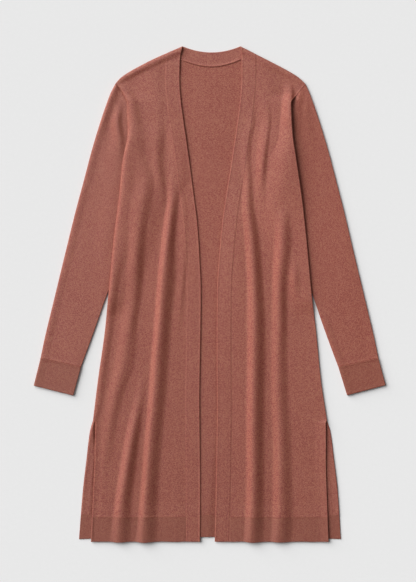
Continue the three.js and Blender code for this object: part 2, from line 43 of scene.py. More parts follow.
garment = {
    "length": 1000.0,         # front hem edge to the neck points
    "middle": 498.9,          # this height lies on the origin of the frame
    "jersey": 1.6,            # thickness of the plain knit
    "ribbed": 2.2,            # thickness of hems and cuffs
    "banding": 2.2,           # thickness of the doubled bands
    "frontHem": 50.0,         # height of the hem line above the front hem edge
    "backHem": 54.0,
    "slitTop": 245.0,
    "underarm": 760.0,
    "armholeTurn": 886.0,     # above it the armhole seam shows
    "bandWidth": 29.5,
    "neckBand": 26.5,
    "underarmRun": 42.0,      # above the underarm the back's side runs in to the armhole over this height
    "armholeGap": 0.3,        # from the armhole seam to the back panel
    "bandLap": 0.25,          # how far the front bands and what they are sewn to reach past their seam
    "linkLap": 0.2,           # the same for panels and the hems and cuffs linked to them
    "hemDip": 0.2,            # of a fold's height: how far the hem edge hangs lower where it crosses
    "hemDipAt": 6.0,          # height above the hem edge where the fold is measured
    "edgeRadius": 0.6,        # rounding of every free edge
    "seamRadius": 0.4,        # rounding of an edge that is sewn to its neighbour
    "bandSeamRadius": 0.12,   # the same along the front bands
}
metresPerMm = 0.001

sideSign = {"left": -1.0, "right": 1.0}
otherSide = {"left": "right", "right": "left"}
column = {"left": 1, "right": 2}     # of the outline tables

# Outlines: height, left x, right x
armholeRows = [(923.5, -190.9, 193.7), (912, -180.8, 184.2), (900, -173.6, 174.6), (886, -167, 164.4),
               (851, -154.9, 152.8), (811, -142.8, 142.4), (760, -134.7, 136.5)]
bodyRows = [(886, -167, 164.4), (827, -165.4, 167.4), (766, -175.7, 175.9), (692, -183.2, 186.6),
            (617, -192.7, 195), (532, -201, 202.8), (488, -205.4, 207.2), (427, -211.5, 214.7),
            (326, -225.6, 224.8), (245, -235.7, 236.9)]
frontSlitRows = [(245, -235.7, 236.9), (241, -231.2, 234.4), (165, -232.3, 234.4), (94, -235.3, 236.5),
                 (0, -239.8, 240.1)]
backSlitRows = [(245, -235.7, 236.9), (222, -242, 244), (165, -249, 251.2), (104, -256.1, 258.5),
                (5, -264, 264.9)]
frontEdgeRows = [(1000, -54.4, 61.8), (972, -59.4, 64.4), (930, -60.4, 64.2), (889, -57.4, 61), (848, -52, 56),
                 (807, -46, 50), (755, -38.8, 42.2), (692, -30.5, 32), (645, -24.6, 25.6), (575, -20, 19),
                 (504, -17, 14.9), (390, -18.4, 14.3), (287, -20, 14.9), (118, -18.4, 12.9), (0, -19, 10.1)]
sleeveOuterRows = [(923.5, -190.9, 193.7), (908, -199, 200.8), (892, -205.4, 206.8), (851, -219.6, 220.8),
                   (791, -237.8, 239), (730, -253.9, 255), (670, -270, 270.5), (589, -290, 289.6),
                   (488, -314.5, 313.9), (407, -334, 333.2), (371, -341.4, 340.6)]
sleeveInnerRows = [(760, -134.7, 136.5), (690, -141, 142.6), (590, -170.6, 171.6), (488, -211.2, 211.2),
                   (447, -225.4, 225), (407, -239.6, 239.2), (353, -259.4, 259.4)]
# Shoulder line: x, height, for each side
shoulderRows = {
    "left": [(-54.4, 1000), (-83, 987.5), (-114, 973), (-145.5, 957), (-173, 941), (-183.4, 932.5), (-190.9, 923.5)],
    "right": [(61.8, 1000), (86, 987.5), (114, 973), (145.5, 957), (173.6, 941), (184.6, 932.5), (193.7, 923.5)],
}
shoulderTip = {side: shoulderRows[side][-1] for side in sideSign}
bandTop = {"left": -86.5, "right": 92.9}   # where the seam of a front band meets the shoulder

# Folds of the fronts: height, x of the crest, how high it stands, reach to the left, reach to the right
frontFolds = {
    "left": {
        "long fold": [(905, -72, 0, 20, 44), (851, -80, 1.4, 20, 50), (811, -74, 2, 18, 48),
                      (770, -68, 2.4, 24, 44), (730, -72, 2.5, 18, 38), (710, -74.5, 2.8, 15, 25),
                      (690, -76, 3.7, 11.5, 17.5), (650, -80.5, 5.2, 13.5, 16.5), (609, -85.2, 6.7, 14, 18),
                      (528, -93.5, 8.1, 13.5, 27), (447, -99.4, 7.6, 14, 25), (366, -106.4, 7.6, 13.5, 27),
                      (286, -111.8, 7.6, 14, 26), (205, -119.6, 7.1, 14, 27), (144, -124.6, 7.4, 13, 27),
                      (104, -127.6, 7.4, 13, 27), (74, -129.6, 6.9, 14, 28), (25, -132.5, 5.9, 16, 30),
                      (0, -134, 5.2, 18, 30)],
        "middle fold": [(905, -106, 0, 30, 20), (851, -101, 1.5, 26, 22), (811, -105, 1.6, 18, 18),
                        (770, -105.5, 1.5, 14, 13.5), (730, -100, 1.4, 15, 11), (705, -97.5, 0.8, 16, 12),
                        (685, -97, 0.6, 16, 12), (655, -96, 0, 14, 9)],
        "fold from the armhole": [(820, -142, 0, 18, 14), (770, -138.5, 1.5, 22, 15),
                                  (730, -132.5, 2.4, 26, 23), (690, -137, 4, 27, 24), (650, -143, 4.1, 24, 22),
                                  (609, -147, 4.1, 20, 21), (528, -149.6, 4, 23, 18),
                                  (447, -160.5, 3.9, 24, 18), (366, -173, 3.6, 22, 28),
                                  (286, -192.3, 3, 18, 19), (205, -205, 1.4, 16, 16), (150, -212, 0, 14, 14)],
        "low fold": [(340, -134, 0, 12, 14), (286, -142.8, 1.5, 14, 14), (205, -158.2, 5.9, 16, 18),
                     (144, -168.5, 6.9, 15, 21), (104, -174.6, 6.9, 15, 22), (74, -178.5, 6.7, 16, 24),
                     (25, -181.5, 5.2, 19, 26), (0, -183, 4.2, 20, 26)],
        "fold beside the band": [(720, -58, 0, 8, 8), (690, -55, 0.7, 10, 10), (609, -51.5, 1.1, 13, 12),
                                 (528, -55, 1.2, 13, 8), (447, -62, 0.6, 13, 9), (400, -68, 0, 12, 9)],
        "shoulder slope": [(975, -118, 0, 26, 26), (940, -118, 1.2, 34, 34), (892, -106, 1.6, 42, 40),
                           (840, -104, 0, 30, 40)],
    },
    "right": {
        "chest fold": [(905, 108, 0, 20, 12), (851, 116.8, 1.6, 20, 10), (810, 112, 2.2, 18, 10),
                       (770, 106.7, 3, 15, 11), (730, 104.3, 1.8, 14, 11), (700, 103, 0.5, 14, 11),
                       (680, 102, 0, 14, 12)],
        "inner fold": [(880, 86, 0, 14, 8), (851, 86, 1, 16, 8), (811, 78, 1.5, 18, 9),
                       (770, 74.5, 1.8, 16, 11), (730, 77, 2, 13, 11), (690, 76.9, 3.3, 14, 14),
                       (609, 84, 5.7, 16.5, 19), (528, 89, 6.9, 16, 21), (447, 91, 7.4, 18, 24),
                       (366, 89.5, 7.9, 16, 26), (286, 88.5, 8, 16, 25), (205, 88, 8, 16, 25),
                       (144, 88, 7.8, 16, 25), (74, 87, 7.6, 16, 26), (25, 85.5, 6.1, 17, 27),
                       (0, 84, 5.2, 18, 28)],
        "outer fold": [(925, 158, 0, 14, 10), (905, 163, 3.4, 17, 10), (892, 162, 5.2, 18, 9.5),
                       (872, 160.5, 3.8, 18, 10), (851, 160, 1.2, 20, 12), (830, 158, 0, 20, 14),
                       (680, 148, 0, 20, 16), (650, 148, 2.4, 20, 17), (609, 146.2, 4.6, 18, 23),
                       (528, 139.8, 6.1, 15.5, 20), (447, 140, 5.1, 18, 19), (366, 138, 4.5, 17, 22),
                       (286, 139, 4.5, 18, 23), (205, 142.5, 5.1, 18, 25), (124, 142.5, 5.7, 18, 27),
                       (74, 142.5, 6.1, 19, 29), (25, 141, 5.3, 19, 29), (0, 139, 4.7, 20, 29)],
        "thigh drag": [(572, 174, 0, 10, 13), (528, 171, 1.7, 11, 14), (486, 174, 0, 10, 13)],
        "shoulder slope": [(990, 98, 0, 100, 40), (960, 102, 1.3, 110, 50), (925, 108, 1.7, 120, 42),
                           (892, 113, 1.6, 120, 31), (850, 114, 0.4, 110, 30), (820, 114, 0, 100, 30)],
        "fold beside the band": [(716, 62, 0, 26, 18), (680, 60, 0.7, 32, 20), (609, 52, 1.4, 36, 30),
                                 (528, 47, 1.4, 36, 34), (447, 46, 1.0, 36, 36), (366, 46, 0.7, 36, 36),
                                 (290, 46, 0, 36, 36)],
    },
}
# The outer part of the front on the viewer's right stands up where it laps the sleeve: steep at its foot.
raisedSide = {
    "rows": [(900, 168, 0, 24, 40), (870, 167, 4.8, 24, 40), (851, 166.5, 7.8, 24.5, 42), (811, 167, 6.2, 30, 44),
             (770, 161, 5.9, 42, 46), (730, 154, 5.2, 39, 64), (690, 147, 3.5, 34, 80), (650, 144, 1.5, 34, 80),
             (609, 140, 0, 30, 60)],
    "fullness": 0.65,         # below 1 its top is broader
    "dropRadius": 2.2,        # rounding of its edge
}
sleeveFolds = {
    "left": {
        "top of the sleeve": [(893, -180, 0, 18, 11), (868, -184, 2.4, 15, 11.5), (851, -186.5, 3.9, 16, 11.5),
                              (831, -185, 4, 18, 12), (811, -182, 3.5, 22, 13), (770, -187, 1.7, 34, 20),
                              (690, -196, 1, 32, 24), (609, -208, 0.9, 28, 22), (530, -220, 0, 22, 20)],
    },
    "right": {
        "top of the sleeve": [(910, 184, 0, 7, 8), (892, 178.5, 2.0, 7, 12), (870, 178, 1.2, 8, 12),
                              (845, 179, 0.5, 10, 12), (815, 184, 0, 10, 12)],
        "elbow side": [(900, 192, 0, 10, 14), (870, 193, 1, 14, 14), (830, 197, 0.8, 16, 16), (770, 206, 0, 18, 18)],
    },
}
# Rolled edges: height, how high the roll stands, how far in its crest lies, how far it reaches behind the crest.
# The edges on the viewer's left stand up from the floor or the cloth below, those on the right drop straight down.
rolls = {
    "left": {
        "sleeve": [(923, 2.8, 4, 13), (892, 3.4, 4, 18), (851, 2.8, 5, 15), (811, 1.4, 5, 14), (353, 1.0, 5, 14)],
        "shoulder": [(1000, 2.0, 5, 12), (960, 2.3, 5, 11), (900, 2.3, 5, 11)],
        "side": [(925, 0, 8, 18), (905, 2.4, 9, 18), (875, 3.0, 10, 19), (851, 3.4, 12, 21), (811, 4.2, 8, 35),
                 (770, 3.5, 8.5, 35), (690, 3.5, 8.5, 39), (609, 2.9, 8, 40), (528, 3.7, 6.5, 18), (447, 2.2, 6, 14),
                 (366, 2.0, 6, 13), (286, 1.6, 6, 12), (250, 1.3, 4, 9), (236, 0.7, 2.2, 5), (200, 0.45, 2, 4.5),
                 (0, 0.45, 2, 4.5)],
    },
    "right": {
        "sleeve": [(923, 0, 0, 8), (353, 0, 0, 8)],
        "shoulder": [(1000, 1.5, 5, 12), (900, 1.5, 5, 12)],
        "side": [(905, 0, 0, 46), (872, 0.4, 0, 46), (851, 1.0, 0, 46), (690, 1.4, 0, 46), (550, 1.6, 0, 40),
                 (500, 1.0, 0, 24), (447, 0.2, 0, 9), (250, 0.2, 0, 9), (238, 2.6, 0, 24), (190, 2.4, 0, 24),
                 (120, 1.6, 0, 22), (0, 1.3, 0, 20)],
    },
}
levels = {
    "sleeve": 3.6,            # top of a flat sleeve
    "cuff": 4.8,
    "overSleeve": 4.2,        # what laps over a sleeve starts here
    "overBack": 1.9,
    "overBackBand": 2.5,
}
# How the body passes over what lies below it. A turn is the place where a change starts and the length it takes.
lap = {
    "level": 9.0,                   # the cloth stays up this far past the edge of the sleeve
    "slope": 28.0,                  # and comes down over this length
    "lowEnd": 462.0,                # height where the sleeve comes out from under the body
    "lowSlope": 44.0,
    "lowShift": 8.0,                # the wider the spread, the lower down the rise starts
    "frontSpread": 1.7,             # the front slopes more gently than the back below it
    "backTurn": (42.0, 36.0),       # above the underarm
    "frontTurn": (46.0, 44.0),
    "seamTurn": (3.0, 18.0),        # above the turn of the armhole
    "shoulderTurn": (917.0, 26.0),
    "hemBelow": (78.0, 20.0),       # up to this height the ribbed back hem lies under the front
    "neckBelow": (942.0, 16.0),     # above this height the neck band does
    "sideDrop": (0.0, 20.0),        # above the slit
}
# The cloth is calm along its edges: the length over which its unevenness begins.
calm = {
    "side": 30.0,
    "shoulder": 30.0,
    "band": 16.0,
    "sleeve": 14.0,
    "sleeveTurn": (700.0, 120.0),   # a sleeve is smooth above this height
    "loft": 0.3,
}
# Crossed waves in the cloth: height, then for each of two directions the length across, the length along and
# how much the shift moves it. Each kind of piece has its own shift.
waves = [(0.28, (17, 61, 1), (-47, 83, 2)), (0.1, (8.3, -39, 3), (31, 27, -1))]
waveShift = {"left": 1, "right": 2, "sleeve": 5, "back": 9}
# A slanting edge lies nearer than it measures straight up or across.
slant = {"shoulder": 0.88, "sleeveOuter": 0.97, "sleeveInner": 0.94}
sleeveOpen = (440.0, 50.0)          # below this turn a sleeve's inner edge lies free


def clamp01(value):
    return np.clip(value, 0.0, 1.0)


def smooth(value):
    part = clamp01(value)
    return part * part * (3 - 2 * part)


def past(place, turn):
    return smooth((place - turn[0]) / turn[1])


def upTo(place, turn):
    return smooth((turn[0] - place) / turn[1])


def mix(start, end, part):
    return start + (end - start) * part


def hump(distance, reach):
    return 0.5 + 0.5 * np.cos(np.pi * np.minimum(1, np.abs(distance) / reach))


# Reads one column of a table at many places of its first column, smooth through the rows and flat past the ends.
def readTable(rows, index, place):
    table = np.array(rows, float)
    table = table[np.argsort(table[:, 0])]
    keys, values = table[:, 0], table[:, index]
    slopes = np.diff(values) / np.diff(keys)
    tangents = np.concatenate([slopes[:1], np.zeros(len(slopes) - 1), slopes[-1:]])
    before, after = slopes[:-1], slopes[1:]
    same = before * after > 0
    tangents[1:-1][same] = 2 * before[same] * after[same] / (before[same] + after[same])
    place = np.clip(place, keys[0], keys[-1])
    i = np.clip(np.searchsorted(keys, place, side="right") - 1, 0, len(keys) - 2)
    step = keys[i + 1] - keys[i]
    t = (place - keys[i]) / step
    startPart = (1 + 2 * t) * (1 - t) ** 2 * values[i] + t * (1 - t) ** 2 * step * tangents[i]
    endPart = t * t * (3 - 2 * t) * values[i + 1] + t * t * (t - 1) * step * tangents[i + 1]
    return startPart + endPart


def armholeX(y, side):
    return readTable(armholeRows, column[side], y)


def sleeveInnerX(y, side):
    return readTable(sleeveInnerRows, column[side], y)


def sleeveOuterX(y, side):
    return readTable(sleeveOuterRows, column[side], y)


def frontEdgeX(y, side):
    return readTable(frontEdgeRows, column[side], y)


def bandSeamX(y, side):
    return frontEdgeX(y, side) + sideSign[side] * garment["bandWidth"]


def shoulderY(x, side):
    return readTable(shoulderRows[side], 1, x)


def frontSideX(y, side):
    body = readTable(bodyRows, column[side], y)
    slit = readTable(frontSlitRows, column[side], y)
    return np.where(y > garment["armholeTurn"], armholeX(y, side), np.where(y > garment["slitTop"], body, slit))


# The back's side runs from the armhole seam to the body's side just above the underarm.
def backSideX(y, side):
    run = garment["underarmRun"]
    step = smooth((garment["underarm"] + run - y) / run)
    armhole = armholeX(y, side) - sideSign[side] * garment["armholeGap"]
    upper = mix(armhole, readTable(bodyRows, column[side], y), step)
    return np.where(y > garment["slitTop"], upper, readTable(backSlitRows, column[side], y))


def foldHeight(rows, x, y):
    crest = readTable(rows, 1, y)
    reach = np.where(x < crest, readTable(rows, 3, y), readTable(rows, 4, y))
    return readTable(rows, 2, y) * hump(x - crest, reach)


def rollHeight(name, side, distance, y):
    stand, crest, behind = [readTable(rolls[side][name], index, y) for index in (1, 2, 3)]
    rise = 1 - (1 - clamp01(distance / np.maximum(crest, 0.01))) ** 2
    return np.where(distance < 0, 0, stand * np.where(distance < crest, rise, hump(distance - crest, behind)))


# Slow unevenness that any cloth has when it is spread out by hand
def unevenness(x, y, kind):
    total = 0.0
    for height, *directions in waves:
        first, second = [np.sin(x / across + y / along + share * waveShift[kind])
                         for across, along, share in directions]
        total = total + height * first * second
    return total


# How much of the way a panel is lifted to pass over the sleeve: 1 above it, 0 away from it.
def overSleeve(x, y, side, spread):
    edge = np.where(y > garment["underarm"], armholeX(y, side), sleeveInnerX(y, side))
    pastEdge = sideSign[side] * (edge - x)
    across = 1 - smooth((pastEdge - lap["level"] * spread) / (lap["slope"] * spread))
    return across * smooth((y - lap["lowEnd"] + lap["lowShift"] * spread) / lap["lowSlope"])


def backHeight(x, y):
    high = 1 - past(y - garment["underarm"], lap["backTurn"])
    lift = np.where(x < 0, overSleeve(x, y, "left", 1), overSleeve(x, y, "right", 1))
    return levels["overSleeve"] * lift * high


def frontHeight(x, y, side):
    fromSide = sideSign[side] * (frontSideX(y, side) - x)
    fromBand = sideSign[side] * (x - bandSeamX(y, side))
    underShoulder = (shoulderY(x, side) - y) * slant["shoulder"]
    bandBelow = np.maximum(upTo(y, lap["hemBelow"]), past(y, lap["neckBelow"]))
    base = mix(levels["overBack"], levels["overBackBand"], bandBelow)
    seam = 1 - past(y - garment["armholeTurn"], lap["seamTurn"])
    high = 1 - past(y - garment["underarm"], lap["frontTurn"])
    lift = overSleeve(x, y, side, lap["frontSpread"])
    overArm = (levels["overSleeve"] - levels["overBack"]) * lift * seam + levels["overBack"] * lift * high
    folded = sum(foldHeight(rows, x, y) for rows in frontFolds[side].values())
    shoulder = rollHeight("shoulder", side, underShoulder, y) * past(y, lap["shoulderTurn"])
    rolled = rollHeight("side", side, fromSide, y) + shoulder
    if side == "right":
        crest, reachLeft, reachRight = [readTable(raisedSide["rows"], index, y) for index in (1, 3, 4)]
        reach = np.where(x < crest, reachLeft, reachRight)
        raised = readTable(raisedSide["rows"], 2, y) * hump(x - crest, reach) ** raisedSide["fullness"]
        drop = mix(1.0, edgeRound(fromSide, raisedSide["dropRadius"]), past(y - garment["slitTop"], lap["sideDrop"]))
        rolled = (rolled + raised) * drop
    quiet = (smooth(fromSide / calm["side"]) * smooth(underShoulder / calm["shoulder"])
             * smooth(fromBand / calm["band"]))
    return base + overArm + folded + rolled + quiet * (calm["loft"] + unevenness(x, y, side))


def sleeveHeight(x, y, side):
    outer = sideSign[side] * (sleeveOuterX(y, side) - x) * slant["sleeveOuter"]
    inner = sideSign[side] * (x - sleeveInnerX(y, side)) * slant["sleeveInner"]
    belowArmhole = y < garment["underarm"]
    innerRoll = rollHeight("sleeve", otherSide[side], inner, y)
    below = np.where(belowArmhole, innerRoll * (1 - past(y, sleeveOpen)), 0)
    folded = sum(foldHeight(rows, x, y) for rows in sleeveFolds[side].values())
    quiet = (smooth(outer / calm["sleeve"]) * np.where(belowArmhole, smooth(inner / calm["sleeve"]), 1)
             * upTo(y, calm["sleeveTurn"]))
    uneven = quiet * (calm["loft"] + unevenness(x, y, "sleeve"))
    return levels["sleeve"] + rollHeight("sleeve", side, outer, y) + below + folded + uneven


# The front's hem edge hangs lower where a fold crosses it.
def hemDrop(x, side):
    return -garment["hemDip"] * (frontHeight(x, garment["hemDipAt"] + 0 * x, side) - levels["overBackBand"])


# Places along a length, close together at both ends, where the cloth's edge is rounded.
edgeSteps = np.array([0.0, 0.1, 0.35, 0.8, 1.5, 2.6])


def places(length, count):
    length = np.asarray(length, float)[..., None]
    inside = np.linspace(0, 1, count)[1:-1]
    last = edgeSteps[-1]
    return np.concatenate([edgeSteps + 0 * length, last + (length - 2 * last) * inside,
                           length - edgeSteps[::-1]], axis=-1)


def edgeRound(distance, radius):
    return np.sqrt(1 - (1 - clamp01(distance / radius)) ** 2)


# Each edge is given as its distance and its radius.
def rimRound(*edges):
    total = 1.0
    for distance, radius in edges:
        total = total * edgeRound(distance, radius)
    return total


# Raised line in the cloth, such as a linked seam or a row of stitches.
def seamLine(distance, place, width, height):
    return height * np.exp(-((distance - place) / width) ** 2)


# Measured across a slope the cloth keeps its thickness, so straight up it is thicker.
slopeReach = 1.5
mostSlope = 1.35


def slopeThickness(height, x, y, thickness):
    slopeX = (height(x + slopeReach, y) - height(x - slopeReach, y)) / (2 * slopeReach)
    slopeY = (height(x, y + slopeReach) - height(x, y - slopeReach)) / (2 * slopeReach)
    return thickness * np.minimum(mostSlope, np.sqrt(1 + slopeX ** 2 + slopeY ** 2))


def meshFrom(name, points, quads, uv, layerOfQuad, materials):
    mesh = bpy.data.meshes.new(name)
    world = (np.asarray(points, float) - (0, garment["middle"], 0)) * metresPerMm
    mesh.from_pydata(world.tolist(), [], quads.tolist())
    cloth = mesh.uv_layers.new(name="cloth")
    cloth.uv.foreach_set("vector", (uv[quads.ravel()] * metresPerMm).ravel().astype(np.float32))
    for material in materials:
        mesh.materials.append(material)
    mesh.polygons.foreach_set("material_index", layerOfQuad.astype(np.int32))
    mesh.shade_smooth()
    mesh.update()
    piece = bpy.data.objects.new(name, mesh)
    bpy.context.scene.collection.objects.link(piece)
    return piece


# A closed piece of cloth from two grids of heights over one plan. At its rim the two faces round to one line:
# lean 0 puts that line on the underside, 1 on the upper side, 0.5 half way.
def sheetPiece(name, x, y, low, high, roundness, lean, uv, materials):
    rows, columns = x.shape
    rim = low + (high - low) * lean
    lower = rim + (low - rim) * roundness
    upper = rim + (high - rim) * roundness
    inside = np.zeros((rows, columns), bool)
    inside[1:-1, 1:-1] = True
    top = np.arange(rows * columns).reshape(rows, columns)
    bottom = top.copy()
    bottom[inside] = rows * columns + np.arange(inside.sum())
    flat = np.stack([x, y, upper], axis=-1).reshape(-1, 3)
    under = np.stack([x, y, lower], axis=-1)[inside]
    uvAll = np.concatenate([uv.reshape(-1, 2), uv[inside]])
    turned = (x[rows // 2, -1] - x[rows // 2, 0]) * (y[-1, 0] - y[0, 0]) < 0
    quads, layers = [], []
    for layer, index in enumerate((top, bottom)):
        quad = np.stack([index[:-1, :-1], index[:-1, 1:], index[1:, 1:], index[1:, :-1]], axis=-1).reshape(-1, 4)
        quads.append(quad[:, ::-1] if turned != (layer == 1) else quad)
        layers.append(np.full(len(quad), layer))
    return meshFrom(name, np.concatenate([flat, under]), np.concatenate(quads), uvAll, np.concatenate(layers),
                    materials)


# A closed wall round a flat tube, open at both ends: rings of the outer skin and the inner skin, which meet in a
# rounded rim at each end.
def tubePiece(name, outer, inner, uv, materials):
    rows, count = outer.shape[:2]
    outerIndex = np.arange(rows * count).reshape(rows, count)
    innerIndex = outerIndex.copy()
    innerIndex[1:-1] = rows * count + np.arange((rows - 2) * count).reshape(rows - 2, count)
    points = np.concatenate([outer.reshape(-1, 3), inner[1:-1].reshape(-1, 3)])
    uvAll = np.concatenate([uv.reshape(-1, 2), uv[1:-1].reshape(-1, 2)])
    ring = outer[rows // 2]
    following = np.roll(ring, -1, axis=0)
    along = outer[rows // 2 + 1].mean(0) - ring.mean(0)
    facesOut = np.cross(ring - ring.mean(0), following - ring.mean(0)).sum(0) @ along > 0
    quads, layers = [], []
    for layer, index in enumerate((outerIndex, innerIndex)):
        nextIndex = np.roll(index, -1, axis=1)
        quad = np.stack([index[:-1], nextIndex[:-1], nextIndex[1:], index[1:]], axis=-1).reshape(-1, 4)
        quads.append(quad[:, ::-1] if facesOut == (layer == 1) else quad)
        layers.append(np.full(len(quad), layer))
    return meshFrom(name, points, np.concatenate(quads), uvAll, np.concatenate(layers), materials)


yarn = {
    "jersey": (0.316, 0.0710, 0.0350),
    "reverse": (0.312, 0.0700, 0.0350),
    "band": (0.313, 0.0705, 0.0350),
    "rib": (0.279, 0.0700, 0.0375),
    "contrast": 0.28,         # how far the dark and light fibres lie from the middle shade
    "pale": (0.012, 0.040, 0.023),   # grey in the light fibres and missing from the dark ones
    "waleWidth": 0.00135,     # m, one column of stitches
    "courseHeight": 0.00100,  # m, one row of stitches
    "bumpStrength": 0.55,
    "roughness": 0.59,
    "sheen": 0.04,
    "sheenRoughness": 0.6,
    "sheenTint": (1.0, 0.8, 0.74, 1),
}
# Depth is the height of the stitches in metres.
finishes = {
    "jerseyFace": {"colour": yarn["jersey"], "reverse": 0.0, "depth": 0.0004, "heathering": 1.06, "gloss": 0.79},
    "jerseyReverse": {"colour": yarn["reverse"], "reverse": 1.0, "depth": 0.0004, "heathering": 1.06, "gloss": 0.79},
    "doubledBand": {"colour": yarn["band"], "reverse": 0.0, "depth": 0.0004, "heathering": 1.06, "gloss": 0.79},
    "fineRib": {"colour": yarn["rib"], "reverse": 0.0, "depth": 0.0003, "heathering": 0.7, "gloss": 0.68},
}


def socket(tree, name, direction, kind, value=None):
    made = tree.interface.new_socket(name=name, in_out=direction, socket_type=kind)
    if value is not None:
        made.default_value = value
    return made


def setInput(tree, target, value):
    if isinstance(value, bpy.types.NodeSocket):
        tree.links.new(value, target)
    else:
        target.default_value = value


def node(tree, kind, inputs=None, **settings):
    made = tree.nodes.new(kind)
    for key, value in settings.items():
        setattr(made, key, value)
    for key, value in (inputs or {}).items():
        setInput(tree, made.inputs[key], value)
    return made


def maths(tree, operation, *values):
    return node(tree, "ShaderNodeMath", dict(enumerate(values)), operation=operation).outputs[0]


def noise(tree, place, scale, detail, roughness=0.5):
    return node(tree, "ShaderNodeTexNoise", {"Vector": place, "Scale": scale, "Detail": detail,
                                             "Roughness": roughness}, noise_dimensions="2D")


stitchShape = {
    "looseness": 0.35,        # how far the stitches stray from their column
    "strayScale": 260.0,
    "strayUp": 1.6,           # they stray this much more along the column
    "legLean": 1.7,
    "legDepth": 0.3,          # how much of a leg's height its twist takes away
    "barWave": 0.22,
}


# Plain knit: each stitch is a V of two leaning legs. Reverse turns it to the bars of the purl side.
def knitStitchGroup():
    tree = bpy.data.node_groups.new("knitStitch", "ShaderNodeTree")
    socket(tree, "Cloth", "INPUT", "NodeSocketVector")
    socket(tree, "Wale width", "INPUT", "NodeSocketFloat", yarn["waleWidth"])
    socket(tree, "Course height", "INPUT", "NodeSocketFloat", yarn["courseHeight"])
    socket(tree, "Reverse", "INPUT", "NodeSocketFloat", 0.0)
    socket(tree, "Looseness", "INPUT", "NodeSocketFloat", stitchShape["looseness"])
    socket(tree, "Height", "OUTPUT", "NodeSocketFloat")
    socket(tree, "Painted gap shade", "OUTPUT", "NodeSocketFloat")
    start = tree.nodes.new("NodeGroupInput")
    end = tree.nodes.new("NodeGroupOutput")
    stray = noise(tree, start.outputs["Cloth"], stitchShape["strayScale"], 2.0)
    place = node(tree, "ShaderNodeSeparateXYZ", {"Vector": start.outputs["Cloth"]})
    across = maths(tree, "DIVIDE", place.outputs["X"], start.outputs["Wale width"])
    up = maths(tree, "DIVIDE", place.outputs["Y"], start.outputs["Course height"])
    drift = maths(tree, "MULTIPLY", maths(tree, "SUBTRACT", stray.outputs["Fac"], 0.5), start.outputs["Looseness"])
    across = maths(tree, "ADD", across, drift)
    up = maths(tree, "ADD", up, maths(tree, "MULTIPLY", drift, stitchShape["strayUp"]))
    # The V: two legs beside the middle of the column, each twisted as it runs up
    leg = maths(tree, "ABSOLUTE", maths(tree, "SUBTRACT", maths(tree, "FRACT", across), 0.5))
    crown = maths(tree, "SINE", maths(tree, "MULTIPLY", leg, math.tau))
    lean = maths(tree, "MULTIPLY", leg, stitchShape["legLean"])
    turn = maths(tree, "MULTIPLY", maths(tree, "SUBTRACT", up, lean), math.tau)
    strand = maths(tree, "MULTIPLY_ADD", maths(tree, "COSINE", turn), stitchShape["legDepth"],
                   1 - stitchShape["legDepth"])
    face = maths(tree, "MULTIPLY", crown, strand)
    # The purl side: wavy bars across
    wave = maths(tree, "COSINE", maths(tree, "MULTIPLY", across, math.tau))
    offset = maths(tree, "MULTIPLY", wave, stitchShape["barWave"])
    bar = maths(tree, "COSINE", maths(tree, "MULTIPLY", maths(tree, "ADD", up, offset), math.tau))
    purl = maths(tree, "MULTIPLY_ADD", bar, 0.5, 0.5)
    both = node(tree, "ShaderNodeMix", {"Factor": start.outputs["Reverse"], "A": face, "B": purl}, data_type="FLOAT")
    # Where the stitches dip, used only to paint shade into the colour there
    gapForPaintedShade = maths(tree, "POWER", maths(tree, "SUBTRACT", 1.0, both.outputs[0]), 2.0)
    tree.links.new(both.outputs[0], end.inputs["Height"])
    tree.links.new(gapForPaintedShade, end.inputs["Painted gap shade"])
    return tree


heathering = {
    "stitchShare": 0.85,      # how much of the shade each stitch sets, and the fine fibre the rest
    "fibreScale": 1100.0,
    "strayScale": 430.0,      # breaks up the straight outline of the stitches
    "stray": 0.0016,          # m
    "paintedGapShade": 0.12,         # painted shade: darkness painted into the colour between the stitches, where shade falls
    "driftScale": 11.0,       # slow drift of the dye
    "drift": 0.16,
    "redScale": 240.0,        # specks that are redder or cooler
    "redRange": 0.04,
    "redGain": 0.35,
    "paintedHemShade": 0.85,           # painted shade: brightness of the colour at the hem against 1 at the chest, for light that falls off downwards
    "hemPlace": -0.5,         # m
    "chestPlace": 0.15,
}
